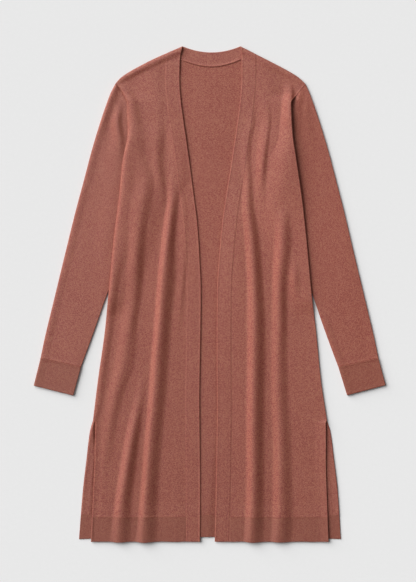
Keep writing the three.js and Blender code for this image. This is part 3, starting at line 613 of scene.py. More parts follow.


# Heathered yarn: every stitch takes its own shade between a dark and a light fibre, over slow drifts of the dye.
# Painted shade darkens it between the stitches and towards the hem.
def heatherGroup():
    tree = bpy.data.node_groups.new("heatheredYarnWithPaintedShade", "ShaderNodeTree")
    socket(tree, "Cloth", "INPUT", "NodeSocketVector")
    socket(tree, "Dark fibre", "INPUT", "NodeSocketColor", (0.2, 0.06, 0.04, 1))
    socket(tree, "Light fibre", "INPUT", "NodeSocketColor", (0.4, 0.14, 0.1, 1))
    socket(tree, "Painted gap shade", "INPUT", "NodeSocketFloat", 0.0)
    socket(tree, "Colour", "OUTPUT", "NodeSocketColor")
    socket(tree, "Fibre", "OUTPUT", "NodeSocketFloat")
    start = tree.nodes.new("NodeGroupInput")
    end = tree.nodes.new("NodeGroupOutput")
    # One shade for each stitch
    stray = noise(tree, start.outputs["Cloth"], heathering["strayScale"], 1.0)
    shift = node(tree, "ShaderNodeVectorMath",
                 {0: stray.outputs["Color"], 1: (heathering["stray"], heathering["stray"], 0.0)},
                 operation="MULTIPLY")
    moved = node(tree, "ShaderNodeVectorMath", {0: start.outputs["Cloth"], 1: shift.outputs[0]}, operation="ADD")
    cell = node(tree, "ShaderNodeVectorMath", {0: moved.outputs[0], 1: (yarn["waleWidth"], yarn["courseHeight"], 1.0)},
                operation="DIVIDE")
    whole = node(tree, "ShaderNodeVectorMath", {0: cell.outputs[0]}, operation="FLOOR")
    stitch = node(tree, "ShaderNodeTexWhiteNoise", {"Vector": whole.outputs[0]}, noise_dimensions="2D")
    fine = noise(tree, start.outputs["Cloth"], heathering["fibreScale"], 2.0, 0.6)
    blend = maths(tree, "MULTIPLY_ADD", stitch.outputs["Value"], heathering["stitchShare"],
                  maths(tree, "MULTIPLY", fine.outputs["Fac"], 1 - heathering["stitchShare"]))
    drift = noise(tree, start.outputs["Cloth"], heathering["driftScale"], 2.0)
    slow = maths(tree, "MULTIPLY_ADD", drift.outputs["Fac"], heathering["drift"], -heathering["drift"] / 2)
    # Painted shade: the colour is darkened between the stitches
    between = maths(tree, "MULTIPLY", start.outputs["Painted gap shade"], heathering["paintedGapShade"])
    share = maths(tree, "SUBTRACT", maths(tree, "ADD", blend, slow), between)
    shade = node(tree, "ShaderNodeMix", {"Factor": share, 6: start.outputs["Dark fibre"],
                                         7: start.outputs["Light fibre"]}, data_type="RGBA")
    # Redder and cooler specks
    specks = noise(tree, start.outputs["Cloth"], heathering["redScale"], 2.0, 0.7)
    redder = node(tree, "ShaderNodeMapRange",
                  {"Value": specks.outputs["Fac"], "From Min": 0.3, "From Max": 0.7,
                   "To Min": -heathering["redRange"], "To Max": heathering["redRange"]})
    warm = maths(tree, "MULTIPLY_ADD", redder.outputs[0], heathering["redGain"], 1.0)
    cool = maths(tree, "SUBTRACT", 1.0, redder.outputs[0])
    tint = node(tree, "ShaderNodeCombineXYZ", {"X": warm, "Y": cool, "Z": cool})
    dyed = node(tree, "ShaderNodeVectorMath", {0: shade.outputs[2], 1: tint.outputs[0]}, operation="MULTIPLY")
    # Painted shade: the colour darkens towards the hem, where the light falls off
    place = node(tree, "ShaderNodeTexCoord")
    height = node(tree, "ShaderNodeSeparateXYZ", {"Vector": place.outputs["Object"]})
    # painted shade: the factor that darkens the colour from the chest down to the hem
    depth = node(tree, "ShaderNodeMapRange",
                 {"Value": height.outputs["Y"], "From Min": heathering["hemPlace"],
                  "From Max": heathering["chestPlace"], "To Min": heathering["paintedHemShade"], "To Max": 1.0})
    paintedShadeBelow = node(tree, "ShaderNodeVectorMath", {0: dyed.outputs[0], 1: depth.outputs[0]}, operation="MULTIPLY")
    tree.links.new(paintedShadeBelow.outputs[0], end.inputs["Colour"])
    tree.links.new(fine.outputs["Fac"], end.inputs["Fibre"])
    return tree


stitchTree = knitStitchGroup()
heatherTree = heatherGroup()


def knitMaterial(name):
    finish = finishes[name]
    material = bpy.data.materials.new(name)
    material.use_nodes = True
    tree = material.node_tree
    shader = tree.nodes["Principled BSDF"]
    cloth = node(tree, "ShaderNodeUVMap", uv_map="cloth")
    stitch = node(tree, "ShaderNodeGroup", node_tree=stitchTree)
    tree.links.new(cloth.outputs[0], stitch.inputs["Cloth"])
    stitch.inputs["Reverse"].default_value = finish["reverse"]
    heather = node(tree, "ShaderNodeGroup", node_tree=heatherTree)
    tree.links.new(cloth.outputs[0], heather.inputs["Cloth"])
    # painted shade between the stitches
    tree.links.new(stitch.outputs["Painted gap shade"], heather.inputs["Painted gap shade"])
    change = [finish["heathering"] * (yarn["contrast"] * channel + grey)
              for channel, grey in zip(finish["colour"], yarn["pale"])]
    dark = [max(0.001, channel - step) for channel, step in zip(finish["colour"], change)]
    light = [channel + step for channel, step in zip(finish["colour"], change)]
    heather.inputs["Dark fibre"].default_value = (*dark, 1)
    heather.inputs["Light fibre"].default_value = (*light, 1)
    relief = maths(tree, "MULTIPLY_ADD", heather.outputs["Fibre"], 0.5, stitch.outputs["Height"])
    bump = node(tree, "ShaderNodeBump",
                {"Strength": yarn["bumpStrength"], "Distance": finish["depth"], "Height": relief})
    tree.links.new(heather.outputs["Colour"], shader.inputs["Base Color"])
    tree.links.new(bump.outputs[0], shader.inputs["Normal"])
    shader.inputs["Roughness"].default_value = yarn["roughness"]
    shader.inputs["Specular IOR Level"].default_value = finish["gloss"]
    shader.inputs["Sheen Weight"].default_value = yarn["sheen"]
    shader.inputs["Sheen Roughness"].default_value = yarn["sheenRoughness"]
    shader.inputs["Sheen Tint"].default_value = yarn["sheenTint"]
    return material


jersey = knitMaterial("jerseyFace")
reverse = knitMaterial("jerseyReverse")
banding = knitMaterial("doubledBand")
ribbing = knitMaterial("fineRib")
print("materials made")


# Each piece's dictionary has its flat cut in metres and the area of that cut in square metres. A seam or stitch
# line is given as its place, its width and its height. Other sizes are in millimetres.
def declare(piece, nodeName):
    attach(piece, "root")
    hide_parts(nodeName)


free, sewn = garment["edgeRadius"], garment["seamRadius"]
slitTurn = (4.0, 8.0)         # what belongs to a slit ends here, above the top of the slit

frontPanel = {
    "columns": 84,
    "rows": 364,
    "flat": (0.215, 0.945),
    "area": 0.14,
    "length": 945.0,              # hem line to shoulder
    "usualWidth": 150.0,
    "trimEnd": (14.5, 1.6),       # the slit's border is thinner up to here from its edge
    "trimDepth": 0.4,
    "slitEdge": (1.6, 1.0, 0.08),
    "hemLine": (1.0, 0.9, 0.35),
    "bandSeam": (2.6, 1.3, 0.06),
    "armholeSeam": (1.3, 1.1, 0.55),
    "armholeTurn": (872.0, 16.0),
    "seamedRim": 3.0,             # this near the side seam the rim lies on the underside
}


def makeFrontPanel(side):
    sign = sideSign[side]
    length = frontPanel["length"]
    alongPlaces = places(length, frontPanel["rows"])
    t = np.clip(alongPlaces / length, 0, 1)[:, None]
    usual = frontPanel["usualWidth"]
    part = places(np.full(len(alongPlaces), usual), frontPanel["columns"]) / usual
    # The width at each height depends on the places across, and they on the width: twice is enough.
    for _ in range(2):
        topX = mix(shoulderTip[side][0], bandTop[side], part)
        y = mix(garment["frontHem"] - garment["linkLap"], shoulderY(topX, side), t)
        width = np.abs(frontSideX(y, side) - bandSeamX(y, side)).mean(axis=1)
        acrossPlaces = places(width, frontPanel["columns"])
        part = acrossPlaces / width[:, None]
    x = mix(frontSideX(y, side), bandSeamX(y, side) - sign * garment["bandLap"], part)
    fromStart, fromEnd = acrossPlaces, width[:, None] - acrossPlaces
    fromLow, fromTop = alongPlaces[:, None] + 0 * x, length - alongPlaces[:, None] + 0 * x

    def height(px, py):
        return frontHeight(px, py, side)

    low = height(x, y)
    high = low + slopeThickness(height, x, y, garment["jersey"])
    fromSide = sign * (frontSideX(y, side) - x)
    toBand = np.abs(x - bandSeamX(y, side))
    slit = upTo(y - garment["slitTop"], slitTurn)
    armhole = past(y, frontPanel["armholeTurn"])
    high = high - frontPanel["trimDepth"] * (1 - past(fromSide, frontPanel["trimEnd"])) * slit
    high = high + seamLine(fromSide, *frontPanel["slitEdge"]) * slit
    high = high + seamLine(y - garment["frontHem"], *frontPanel["hemLine"])
    high = high + seamLine(toBand, *frontPanel["bandSeam"])
    high = high + seamLine(fromSide, *frontPanel["armholeSeam"]) * armhole
    atShoulder = fromTop < np.minimum(fromStart, fromEnd)
    atSideSeam = (fromStart < frontPanel["seamedRim"]) & (y > garment["slitTop"]) & (y < garment["underarm"])
    lean = np.where(atShoulder | atSideSeam, 0.0, 0.5)
    roundness = rimRound((fromStart, mix(free, sewn, armhole)), (fromEnd, garment["bandSeamRadius"]),
                         (fromLow, sewn), (fromTop, free))
    piece = sheetPiece(f"front_panel_cloth_{side}", x, y, low, high, roundness, lean,
                       np.stack([x, y], axis=-1), [jersey, reverse])
    declare(piece, f"front_panel_{side}")


neck = {
    "left": -83.0,            # corners where the neck seam meets the shoulders
    "right": 86.0,
    "cornerY": 987.5,
    "middle": (3.7, 987.8),
    "seamCurve": 1.8,
    "topCurve": 2,
}


# The neck from its middle to a corner: part runs from -1 on the left to 1 on the right.
def neckSeam(part):
    corner = np.where(part < 0, neck["left"], neck["right"])
    out = np.abs(part)
    lowest = neck["middle"][1] - garment["neckBand"]
    return mix(neck["middle"][0], corner, out), mix(lowest, neck["cornerY"], out ** neck["seamCurve"])


def neckTop(part):
    top = garment["length"]
    corner = np.where(part < 0, frontEdgeX(top, "left"), frontEdgeX(top, "right"))
    out = np.abs(part)
    return mix(neck["middle"][0], corner, out), mix(neck["middle"][1], top, out ** neck["topCurve"])


# Height of the back panel's upper edge: shoulder, neck seam, shoulder
def backTopY(x):
    middle = neck["middle"][0]
    part = np.where(x < middle, (x - middle) / (middle - neck["left"]), (x - middle) / (neck["right"] - middle))
    shoulder = np.where(x < 0, shoulderY(x, "left"), shoulderY(x, "right"))
    return np.where(np.abs(part) < 1, neckSeam(np.clip(part, -1, 1))[1], shoulder)


# Between the front bands the back lies a little higher, most of all at the hem, and falls to the band on the right.
showing = {
    "halfWidth": (15.0, 40.0),    # from the middle outwards
    "pastBand": 2.0,
    "hemRise": 1.6,
    "upperRise": 0.4,
    "hemFoot": 17.0,              # width of the fall
    "upperFoot": 5.0,
    "turn": (60.0, 200.0),        # from the hem's values to the upper ones
    "uneven": 0.3,
}


def showingPart(x, y, foot):
    toBand = frontEdgeX(y, "right") - x
    return smooth((toBand + showing["pastBand"]) / foot) * (1 - past(np.abs(x), showing["halfWidth"]))


backPanel = {
    "columns": 150,
    "rows": 260,
    "flat": (0.53, 0.935),
    "area": 0.382,
    "columnShare": (0, 0.14, 0.39, 0.61, 0.86, 1),         # the columns lie closer at the sides and in the middle,
    "widthShare": (0, 0.064, 0.415, 0.585, 0.936, 1),      # where the back shows
    "length": 930.0,
    "straighten": 6,              # the higher, the nearer to the shoulders the columns turn to them
    "hemLine": (1.1, 1.0, 0.12),
    "trimLine": (15.5, 1.1, 0.35),
    "slitEdge": (2.2, 1.6, 0.35),
    "calmSide": 40.0,
    "calmTop": 30.0,
    "lipHeight": (0.7, 3.4),      # the slit edge on the left stands up beside the front, most at its top
    "lipTurn": (185.0, 40.0),
    "lipEnd": (1.0, 6.0),         # above the top of the slit
    "lipFoot": (0.4, 4.2),
    "lipRim": 3.4,
    "stripHeight": 0.9,           # the slit edge on the right lies raised
    "stripWidth": 17.0,
    "stripEnd": (-30.0, 60.0),
    "neckRim": 84.0,              # the rim lies high outside the neck
    "neckSewn": 80.0,
}


def makeBackPanel():
    length = backPanel["length"]
    shoulders = shoulderTip["right"][0] - shoulderTip["left"][0]
    alongPlaces = places(length, backPanel["rows"])
    t = (alongPlaces / length)[:, None]
    acrossPlaces = places(shoulders, backPanel["columns"])
    share = np.interp(acrossPlaces / shoulders, backPanel["columnShare"], backPanel["widthShare"])
    part = share[None, :] + 0 * t
    topX = mix(shoulderTip["left"][0], shoulderTip["right"][0], part)
    topY = backTopY(topX)
    y = mix(garment["backHem"] - garment["linkLap"], topY, t)
    left, right = backSideX(y, "left"), backSideX(y, "right")
    atTop = mix(backSideX(topY, "left"), backSideX(topY, "right"), part)
    x = mix(left, right, part) + (topX - atTop) * t ** backPanel["straighten"]
    width = right - left
    fromStart, fromEnd = part * width, (1 - part) * width
    nearSide = np.minimum(fromStart, fromEnd)
    fromLow, fromTop = alongPlaces[:, None] + 0 * x, length - alongPlaces[:, None] + 0 * x
    low = backHeight(x, y)
    high = low + slopeThickness(backHeight, x, y, garment["jersey"])
    aboveSlit = y - garment["slitTop"]
    slit = upTo(aboveSlit, slitTurn)
    high = high + seamLine(y - garment["backHem"], *backPanel["hemLine"])
    high = high + (seamLine(nearSide, *backPanel["trimLine"]) + seamLine(nearSide, *backPanel["slitEdge"])) * slit
    quiet = smooth(nearSide / backPanel["calmSide"]) * smooth(fromTop / backPanel["calmTop"])
    up = past(y, showing["turn"])
    rise = mix(showing["hemRise"], showing["upperRise"], up) + showing["uneven"] * unevenness(x, y, "back")
    high = high + rise * quiet * showingPart(x, y, mix(showing["hemFoot"], showing["upperFoot"], up))
    toSlit = readTable(frontSlitRows, 1, y) - x
    lip = mix(*backPanel["lipHeight"], past(y, backPanel["lipTurn"])) * upTo(aboveSlit, backPanel["lipEnd"])
    beside, foot = backPanel["lipFoot"]
    high = high + lip * smooth((toSlit + beside) / foot) * smooth(fromStart / backPanel["lipRim"])
    strip = (1 - smooth(fromEnd / backPanel["stripWidth"])) * upTo(aboveSlit, backPanel["stripEnd"])
    high = high + backPanel["stripHeight"] * strip
    atShoulder = (fromTop < nearSide) & (np.abs(topX) > backPanel["neckRim"])
    atSideSeam = (y > garment["slitTop"]) & (y < garment["underarm"])
    lean = np.where(atShoulder | atSideSeam, 1.0, 0.5)
    topRadius = np.where(np.abs(topX) < backPanel["neckSewn"], sewn, free)
    roundness = rimRound((fromStart, free), (fromEnd, free), (fromLow, sewn), (fromTop, topRadius))
    piece = sheetPiece("back_panel_cloth", x, y, low, high, roundness, lean,
                       np.stack([x, y], axis=-1), [reverse, jersey])
    declare(piece, "back_panel")


# Ribs of the hems and cuffs: narrow raised wales with a groove between, a little uneven as knitted
ribs = {
    "pitch": 2.3,
    "relief": 0.22,
    "steps": 6,               # columns of the mesh for each rib
    "fullness": 0.7,
    "drift": (0.18, 5.1),     # how far the ribs wander, in ribs, and over what length
    "jitter": (0.12, 2.9),
    "start": (1.5, 3.0),      # from the seam that they are linked to
}


def ribProfile(across):
    drift, driftLength = ribs["drift"]
    jitter, jitterLength = ribs["jitter"]
    wander = drift * np.sin(across / driftLength) + jitter * np.sin(across / jitterLength + 1.3)
    phase = across / ribs["pitch"] + wander
    return (0.5 + 0.5 * np.cos(2 * np.pi * phase)) ** ribs["fullness"]


def ribColumns(width):
    return int(width / ribs["pitch"] * ribs["steps"])


frontHem = {
    "rows": 16,
    "flat": (0.2, 0.05),
    "area": 0.0097,
    "width": 195.0,
    "measuredAt": 20.0,       # height where the edge's places are taken
    "ripple": (0.25, 9.0),    # of the hem edge: height and length
    "ribLevel": 0.6,          # how much of the ribs lies sunk in the cloth
    "slitEdge": (2.0, 1.6, 0.3),
    "sink": 0.25,             # the hem lies lower than its seam
    "sinkOver": 2.0,
}


def makeFrontHem(side):
    sign = sideSign[side]
    width, tall = frontHem["width"], garment["frontHem"]
    acrossPlaces = places(width, ribColumns(width))
    part = (acrossPlaces / width)[None, :]
    nearX = mix(frontSideX(frontHem["measuredAt"], side), bandSeamX(frontHem["measuredAt"], side), part)
    ripple, rippleLength = frontHem["ripple"]
    edgeY = hemDrop(nearX, side) + ripple * np.sin(nearX / rippleLength)
    alongPlaces = places(tall, frontHem["rows"])
    t = (alongPlaces / tall)[:, None]
    y = mix(edgeY, tall + garment["linkLap"], t)
    x = mix(frontSideX(y, side), bandSeamX(y, side) - sign * garment["bandLap"], part)

    def height(px, py):
        return frontHeight(px, py, side)

    low = height(x, y)
    high = low + slopeThickness(height, x, y, garment["ribbed"])
    ribbed = ribProfile(part * width + 0 * x)
    away = past(tall - y, ribs["start"])
    high = high + ribs["relief"] * (ribbed - frontHem["ribLevel"]) * away
    high = high + seamLine(sign * (frontSideX(y, side) - x), *frontHem["slitEdge"])
    high = high - frontHem["sink"] * smooth((tall - y) / frontHem["sinkOver"])
    low = low + ribs["relief"] * (1 - ribbed) * away
    fromStart, fromEnd = acrossPlaces[None, :] + 0 * x, width - acrossPlaces[None, :] + 0 * x
    fromLow, fromTop = alongPlaces[:, None] + 0 * x, tall - alongPlaces[:, None] + 0 * x
    roundness = rimRound((fromStart, free), (fromEnd, sewn), (fromLow, free), (fromTop, sewn))
    piece = sheetPiece(f"hem_rib_front_{side}", x, y, low, high, roundness, 0.5 + 0 * x,
                       np.stack([x, y], axis=-1), [ribbing, ribbing])
    declare(piece, f"hem_band_front_{side}")


backHem = {
    "rows": 12,
    "flat": (0.527, 0.047),
    "area": None,
    "width": 526.0,
    "halfWidth": 262.0,
    "edge": 7.0,              # the hem edge's usual height above that of the fronts
    "middleEdge": 9.3,        # the edge curves down from the middle to the slits
    "curve": 4.3,
    "curveWidth": 264.0,      # from the middle to a slit edge
    "sink": 0.15,
    "sinkOver": 2.0,
}


def backHemEdge(x):
    return backHem["middleEdge"] - backHem["curve"] * (x / backHem["curveWidth"]) ** 2


def makeBackHem():
    width, seam = backHem["width"], garment["backHem"]
    acrossPlaces = places(width, ribColumns(width))
    part = (acrossPlaces / width)[None, :]
    span = seam - backHem["edge"]
    alongPlaces = places(span, backHem["rows"])
    t = (alongPlaces / span)[:, None]
    y = mix(backHemEdge(mix(-backHem["halfWidth"], backHem["halfWidth"], part)), seam + garment["linkLap"], t)
    x = mix(backSideX(y, "left"), backSideX(y, "right"), part)
    ribbed = ribProfile(part * width + 0 * x)
    away = past(seam - y, ribs["start"])
    high = garment["ribbed"] + ribs["relief"] * (ribbed - 1) * away
    high = high - backHem["sink"] * smooth((seam - y) / backHem["sinkOver"])
    high = high + showing["hemRise"] * showingPart(x, y, showing["hemFoot"])
    low = ribs["relief"] * (1 - ribbed) * away
    fromStart, fromEnd = acrossPlaces[None, :] + 0 * x, width - acrossPlaces[None, :] + 0 * x
    fromLow, fromTop = alongPlaces[:, None] + 0 * x, span - alongPlaces[:, None] + 0 * x
    roundness = rimRound((fromStart, free), (fromEnd, free), (fromLow, free), (fromTop, sewn))
    piece = sheetPiece("hem_rib_back", x, y, low, high, roundness, 0.5 + 0 * x,
                       np.stack([x, y], axis=-1), [ribbing, ribbing])
    declare(piece, "hem_band_back")


frontBand = {
    "columns": 18,
    "rows": 420,
    "flat": (0.0295, 1.01),
    "area": None,
    "foldLine": (1.8, 1.5, 0.42),     # the cloth is thick where it is folded
    "stitchLine": 24.0,
    "stitches": (1.1, 0.1125),
    "swell": 0.2,                     # between the fold and the stitches
    "swellShape": 0.6,
    "seamLine": (26.6, 1.3, 0.12),
    "seamTurn": (26.5, 3.0),
    "seamFall": 0.3,
    "lift": 0.5,                      # the fold on the left stands up a little near the hem
    "liftWidth": 6.0,
    "liftTurn": (90.0, 90.0),
    "shoulderRim": 3.0,
}


def makeFrontBand(side):
    sign = sideSign[side]
    length, width = garment["length"], garment["bandWidth"]
    alongPlaces = places(length, frontBand["rows"])
    t = (alongPlaces / length)[:, None]
    acrossPlaces = places(width, frontBand["columns"])
    part = (acrossPlaces / width)[None, :]
    startY = hemDrop(frontEdgeX(0.0, side) + sign * acrossPlaces[None, :], side)
    y = mix(startY, mix(length, shoulderY(bandTop[side], side), part), t)
    x = frontEdgeX(y, side) + sign * (acrossPlaces[None, :] + garment["bandLap"] * part)

    def height(px, py):
        return frontHeight(px, py, side)

    across = acrossPlaces[None, :] + 0 * x
    low = height(x, y)
    if side == "left":
        nearFold = 1 - smooth(across / frontBand["liftWidth"])
        low = low + frontBand["lift"] * nearFold * (1 - past(y, frontBand["liftTurn"]))
    high = low + slopeThickness(height, x, y, garment["banding"])
    stitchLine = frontBand["stitchLine"]
    toStitches = np.sin(np.pi * clamp01(across / stitchLine))
    high = high + frontBand["swell"] * (toStitches ** frontBand["swellShape"] - 1)
    high = high - seamLine(across, stitchLine, *frontBand["stitches"]) + seamLine(across, *frontBand["foldLine"])
    high = high + seamLine(across, *frontBand["seamLine"])
    high = high - frontBand["seamFall"] * past(across, frontBand["seamTurn"])
    fromLow, fromTop = alongPlaces[:, None] + 0 * x, length - alongPlaces[:, None] + 0 * x
    roundness = rimRound((across, free), (width - across, garment["bandSeamRadius"]), (fromLow, free),
                         (fromTop, free))
    lean = np.where(fromTop < frontBand["shoulderRim"], 0.0, 0.5)
    piece = sheetPiece(f"front_band_cloth_{side}", x, y, low, high, roundness, lean,
                       np.stack([across, y], axis=-1), [banding, banding])
    declare(piece, f"front_band_{side}")


neckBand = {
    "columns": 90,
    "rows": 12,
    "flat": (0.174, 0.0265),
    "area": 0.0039,
    "halfLength": 85.0,
    "overlap": 3.6,           # over the back panel, which it is linked to
    "overlapLevel": 1.65,
    "overlapTurn": 1.5,
    "seam": (1.5, 1.2, 0.95),
    "topLine": (1.8, 1.4, 0.2),       # from the upper edge
    "sink": 0.1,
    "hiddenTurn": (54.0, 6.0),        # from the middle: beyond this the front bands cover it
}


def makeNeckBand():
    half, tall = neckBand["halfLength"], garment["neckBand"]
    part = places(2 * half, neckBand["columns"]) / half - 1
    alongPlaces = places(tall, neckBand["rows"])
    t = (alongPlaces / tall)[:, None]
    lowX, lowY = neckSeam(part)
    topX, topY = neckTop(part)
    x = mix(lowX[None, :], topX[None, :], t)
    y = mix(lowY[None, :] - neckBand["overlap"], topY[None, :], t)
    up = alongPlaces[:, None] + 0 * x
    low = neckBand["overlapLevel"] * (1 - smooth((up - neckBand["overlap"]) / neckBand["overlapTurn"]))
    lines = seamLine(up, *neckBand["seam"]) + seamLine(tall - up, *neckBand["topLine"])
    hidden = past(np.abs(x - neck["middle"][0]), neckBand["hiddenTurn"])
    high = mix(garment["banding"] + lines - neckBand["sink"], garment["banding"], hidden)
    fromSide = (1 - np.abs(part))[None, :] * half + 0 * x
    roundness = rimRound((fromSide, free), (up, free), (tall - up, free))
    piece = sheetPiece("neck_band_cloth", x, y, low, high, roundness, 0.5 + 0 * x,
                       np.stack([x, y], axis=-1), [banding, banding])
    declare(piece, "neck_band")


# A flat tube: upper and lower wall, which turn into each other along both edges.
tube = {
    "steps": np.array([0.0, 0.25, 0.8, 1.6, 2.6, 4.0, 5.6, 7.6, 10.0]),    # places near each edge
    "edgeRadius": 0.6,
    "innerEdgeRadius": 0.15,
    "innerInset": 0.8,        # of the cloth's thickness: how far in the inner skin turns
    "insetReach": 5.5,
    "underRelief": 0.6,       # how much of the ribs shows on the underside
}


# Outer line and inner line give the two edges of the tube along it, and surface the relief round it.
def makeFlatTube(name, outerLine, innerLine, bow, topHeight, cloth, flatTop, columns, stations, endRadius,
                 surface, materials):
    middle, steps, inset = flatTop / 2, tube["steps"], cloth * tube["innerInset"]
    outerRings, innerRings, uvRings = [], [], []
    total = stations[-1]
    for station in stations:
        s = station / total
        start, end = outerLine(s), innerLine(s)
        width = float(np.hypot(*(end - start)))
        inside = np.linspace(0, 1, columns)[1:-1]
        spots = np.concatenate([steps, steps[-1] + (width - 2 * steps[-1]) * inside, width - steps[::-1]])
        around = np.concatenate([spots, spots[-2:0:-1]])
        upper = np.concatenate([np.ones(len(spots), bool), np.zeros(len(spots) - 2, bool)])
        girth = np.where(upper, around, 2 * width - around)

        def skin(wall, shift, relief, edgeStart, edgeRadius):
            spot = np.where(around < width / 2, around + shift, around - shift)
            q = spot / width
            x = mix(start[0], end[0], q) + bow(q, s)
            y = mix(start[1], end[1], q)
            high = topHeight(x, y, spot, width) - wall + relief
            low = wall - np.minimum(relief, 0) * tube["underRelief"]
            rise = edgeRound(np.minimum(spot, width - spot) - edgeStart, edgeRadius)
            return np.stack([x, y, mix(middle, np.where(upper, high, low), rise)], axis=-1)

        shift = inset * np.clip(1 - np.minimum(around, width - around) / tube["insetReach"], 0, 1)
        outerSkin = skin(0, 0, surface(girth, station), 0, tube["edgeRadius"])
        innerSkin = skin(cloth, shift, 0, inset, tube["innerEdgeRadius"])
        closing = edgeRound(station, sewn) * edgeRound(total - station, endRadius)
        wall = (outerSkin + innerSkin) / 2
        outerRings.append(wall + (outerSkin - wall) * closing)
        innerRings.append(wall + (innerSkin - wall) * closing)
        uvRings.append(np.stack([girth, np.full(len(girth), total - station)], axis=-1))
    return tubePiece(name, np.array(outerRings), np.array(innerRings), np.array(uvRings), materials)


sleeve = {
    "columns": 34,
    "stations": 150,
    "flat": (0.25, 0.56),
    "area": 0.113,
    "length": 560.0,
    "cuffSeam": (1.2, 1.1, 0.4),
    "capPart": 0.35,          # of the length, over which the end follows the curve of the armhole
}
cuffCorners = {
    "left": ((-341.4, 371), (-259.4, 353), (-355.3, 315), (-275.1, 294.8)),
    "right": ((340.6, 371), (259.4, 353), (355.3, 316), (277.3, 295.4)),
}


def makeSleeve(side):
    tipX, tipY = shoulderTip[side]
    outerSeam, innerSeam = cuffCorners[side][:2]
    underarmX = armholeX(garment["underarm"], side)

    def outerLine(s):
        y = mix(tipY, outerSeam[1] - garment["linkLap"], s)
        return np.array([float(sleeveOuterX(y, side)), y])

    def innerLine(s):
        y = mix(garment["underarm"], innerSeam[1] - garment["linkLap"], s)
        return np.array([float(sleeveInnerX(y, side)), y])

    def bow(q, s):
        capY = mix(tipY, garment["underarm"], q)
        reach = float(clamp01(1 - s / sleeve["capPart"])) ** 2
        return (armholeX(capY, side) - mix(tipX, underarmX, q)) * reach

    def top(x, y, spot, width):
        seamY = mix(outerSeam[1], innerSeam[1], spot / width)
        return sleeveHeight(x, y, side) + seamLine(y - seamY, *sleeve["cuffSeam"])

    stations = places(sleeve["length"], sleeve["stations"])
    piece = makeFlatTube(f"sleeve_cloth_{side}", outerLine, innerLine, bow, top, garment["jersey"], levels["sleeve"],
                         sleeve["columns"], stations, sewn, lambda girth, station: 0 * girth, [jersey, reverse])
    declare(piece, f"sleeve_{side}")


cuff = {
    "stations": 18,
    "flat": (0.168, 0.0575),
    "area": None,
    "width": 82.0,            # as it lies
    "roll": 0.6,              # how much of the sleeve's rolled edges goes on in the cuff
    "seam": (1.1, 1.1, 0.35),
    "rim": (2.6, 2.2, 0.3),   # from the open end
}


def makeCuff(side):
    outerSeam, innerSeam, outerEnd, innerEnd = [np.array(corner, float) for corner in cuffCorners[side]]
    length = float(np.hypot(*(outerEnd - outerSeam)))

    def top(x, y, spot, width):
        outerRoll = rollHeight("sleeve", side, spot, y)
        innerRoll = rollHeight("sleeve", otherSide[side], width - spot, y)
        return levels["cuff"] + cuff["roll"] * (outerRoll + innerRoll)

    def surface(girth, station):
        ribbed = ribs["relief"] * (ribProfile(girth) - 1) * past(station, ribs["start"])
        lines = seamLine(station, *cuff["seam"]) + seamLine(length - station, *cuff["rim"])
        return ribbed + lines * (girth < cuff["width"])

    piece = makeFlatTube(f"cuff_rib_{side}", lambda s: mix(outerSeam, outerEnd, s),
                         lambda s: mix(innerSeam, innerEnd, s), lambda q, s: 0, top, garment["ribbed"],
                         levels["cuff"], ribColumns(cuff["width"]), places(length, cuff["stations"]), free,
                         surface, [ribbing, ribbing])
    declare(piece, f"cuff_{side}")


makeBackPanel()
makeBackHem()
makeNeckBand()
print("back made")
for side in sideSign:
    makeFrontPanel(side)
    makeFrontHem(side)
    makeFrontBand(side)
    print("front made:", side)
    makeSleeve(side)
    makeCuff(side)
    print("sleeve made:", side)


# Floor, light and camera, in metres
studio = {
    "floorSize": 6.0,
    "floorColour": (0.80, 0.80, 0.80),
    "floorRoughness": 0.95,
    "floorGloss": 0.1,
    "speckleScale": 900.0,
    "speckle": 0.015,
    "keyPower": 5.05,
    "keySpread": 58.0,        # degrees across the soft light as the garment sees it
    "keyPlace": (-2.08, 1.51, 1.55),
    "fill": 0.18,
}


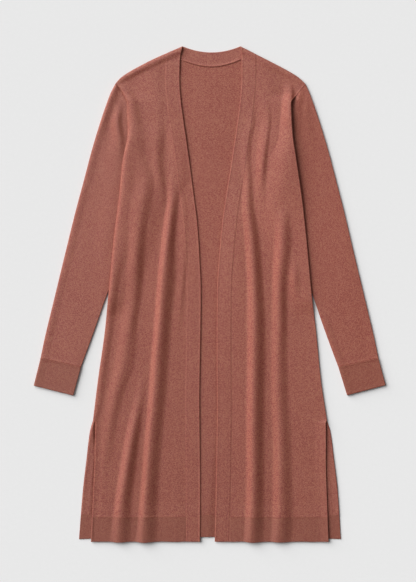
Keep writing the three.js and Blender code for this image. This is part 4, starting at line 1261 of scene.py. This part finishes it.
def makeFloor():
    half = studio["floorSize"] / 2
    mesh = bpy.data.meshes.new("floor")
    mesh.from_pydata([(-half, -half, 0), (half, -half, 0), (half, half, 0), (-half, half, 0)], [], [(0, 1, 2, 3)])
    floor = bpy.data.objects.new("floor", mesh)
    bpy.context.scene.collection.objects.link(floor)
    material = bpy.data.materials.new("paleFloor")
    material.use_nodes = True
    tree = material.node_tree
    shader = tree.nodes["Principled BSDF"]
    speckle = node(tree, "ShaderNodeTexNoise", {"Scale": studio["speckleScale"], "Detail": 2.0})
    shade = node(tree, "ShaderNodeMapRange", {"Value": speckle.outputs["Fac"], "To Min": 1 - studio["speckle"],
                                              "To Max": 1 + studio["speckle"]})
    tone = node(tree, "ShaderNodeVectorMath", {0: studio["floorColour"], 1: shade.outputs[0]}, operation="MULTIPLY")
    tree.links.new(tone.outputs[0], shader.inputs["Base Color"])
    shader.inputs["Roughness"].default_value = studio["floorRoughness"]
    shader.inputs["Specular IOR Level"].default_value = studio["floorGloss"]
    mesh.materials.append(material)


def makeLight():
    key = bpy.data.lights.new("key", "SUN")
    key.energy = studio["keyPower"]
    key.angle = math.radians(studio["keySpread"])
    lamp = bpy.data.objects.new("key", key)
    lamp.location = studio["keyPlace"]
    # The light points at the middle of the floor.
    direction = -np.array(studio["keyPlace"])
    lamp.rotation_euler = (math.atan2(math.hypot(direction[0], direction[1]), -direction[2]), 0,
                           math.atan2(direction[1], direction[0]) - math.pi / 2)
    bpy.context.scene.collection.objects.link(lamp)
    world = bpy.data.worlds.new("studio")
    world.use_nodes = True
    background = world.node_tree.nodes["Background"]
    background.inputs["Color"].default_value = (1, 1, 1, 1)
    background.inputs["Strength"].default_value = studio["fill"]
    bpy.context.scene.world = world


view = {
    "middle": (-0.0034, 0.0071),
    "height": 3.0,
    "frame": 1.1756,          # shown from top to bottom
    "sensor": 36.0,           # mm
    "farthest": 20.0,
}


# Straight above the garment
def makeCamera():
    lens = bpy.data.cameras.new("camera")
    lens.sensor_width = view["sensor"]
    lens.lens = view["sensor"] * view["height"] / view["frame"]
    lens.clip_end = view["farthest"]
    camera = bpy.data.objects.new("camera", lens)
    camera.location = (*view["middle"], view["height"])
    bpy.context.scene.collection.objects.link(camera)
    bpy.context.scene.camera = camera


makeFloor()
makeLight()
makeCamera()
bpy.context.scene.view_settings.view_transform = "Standard"
print("stage made")
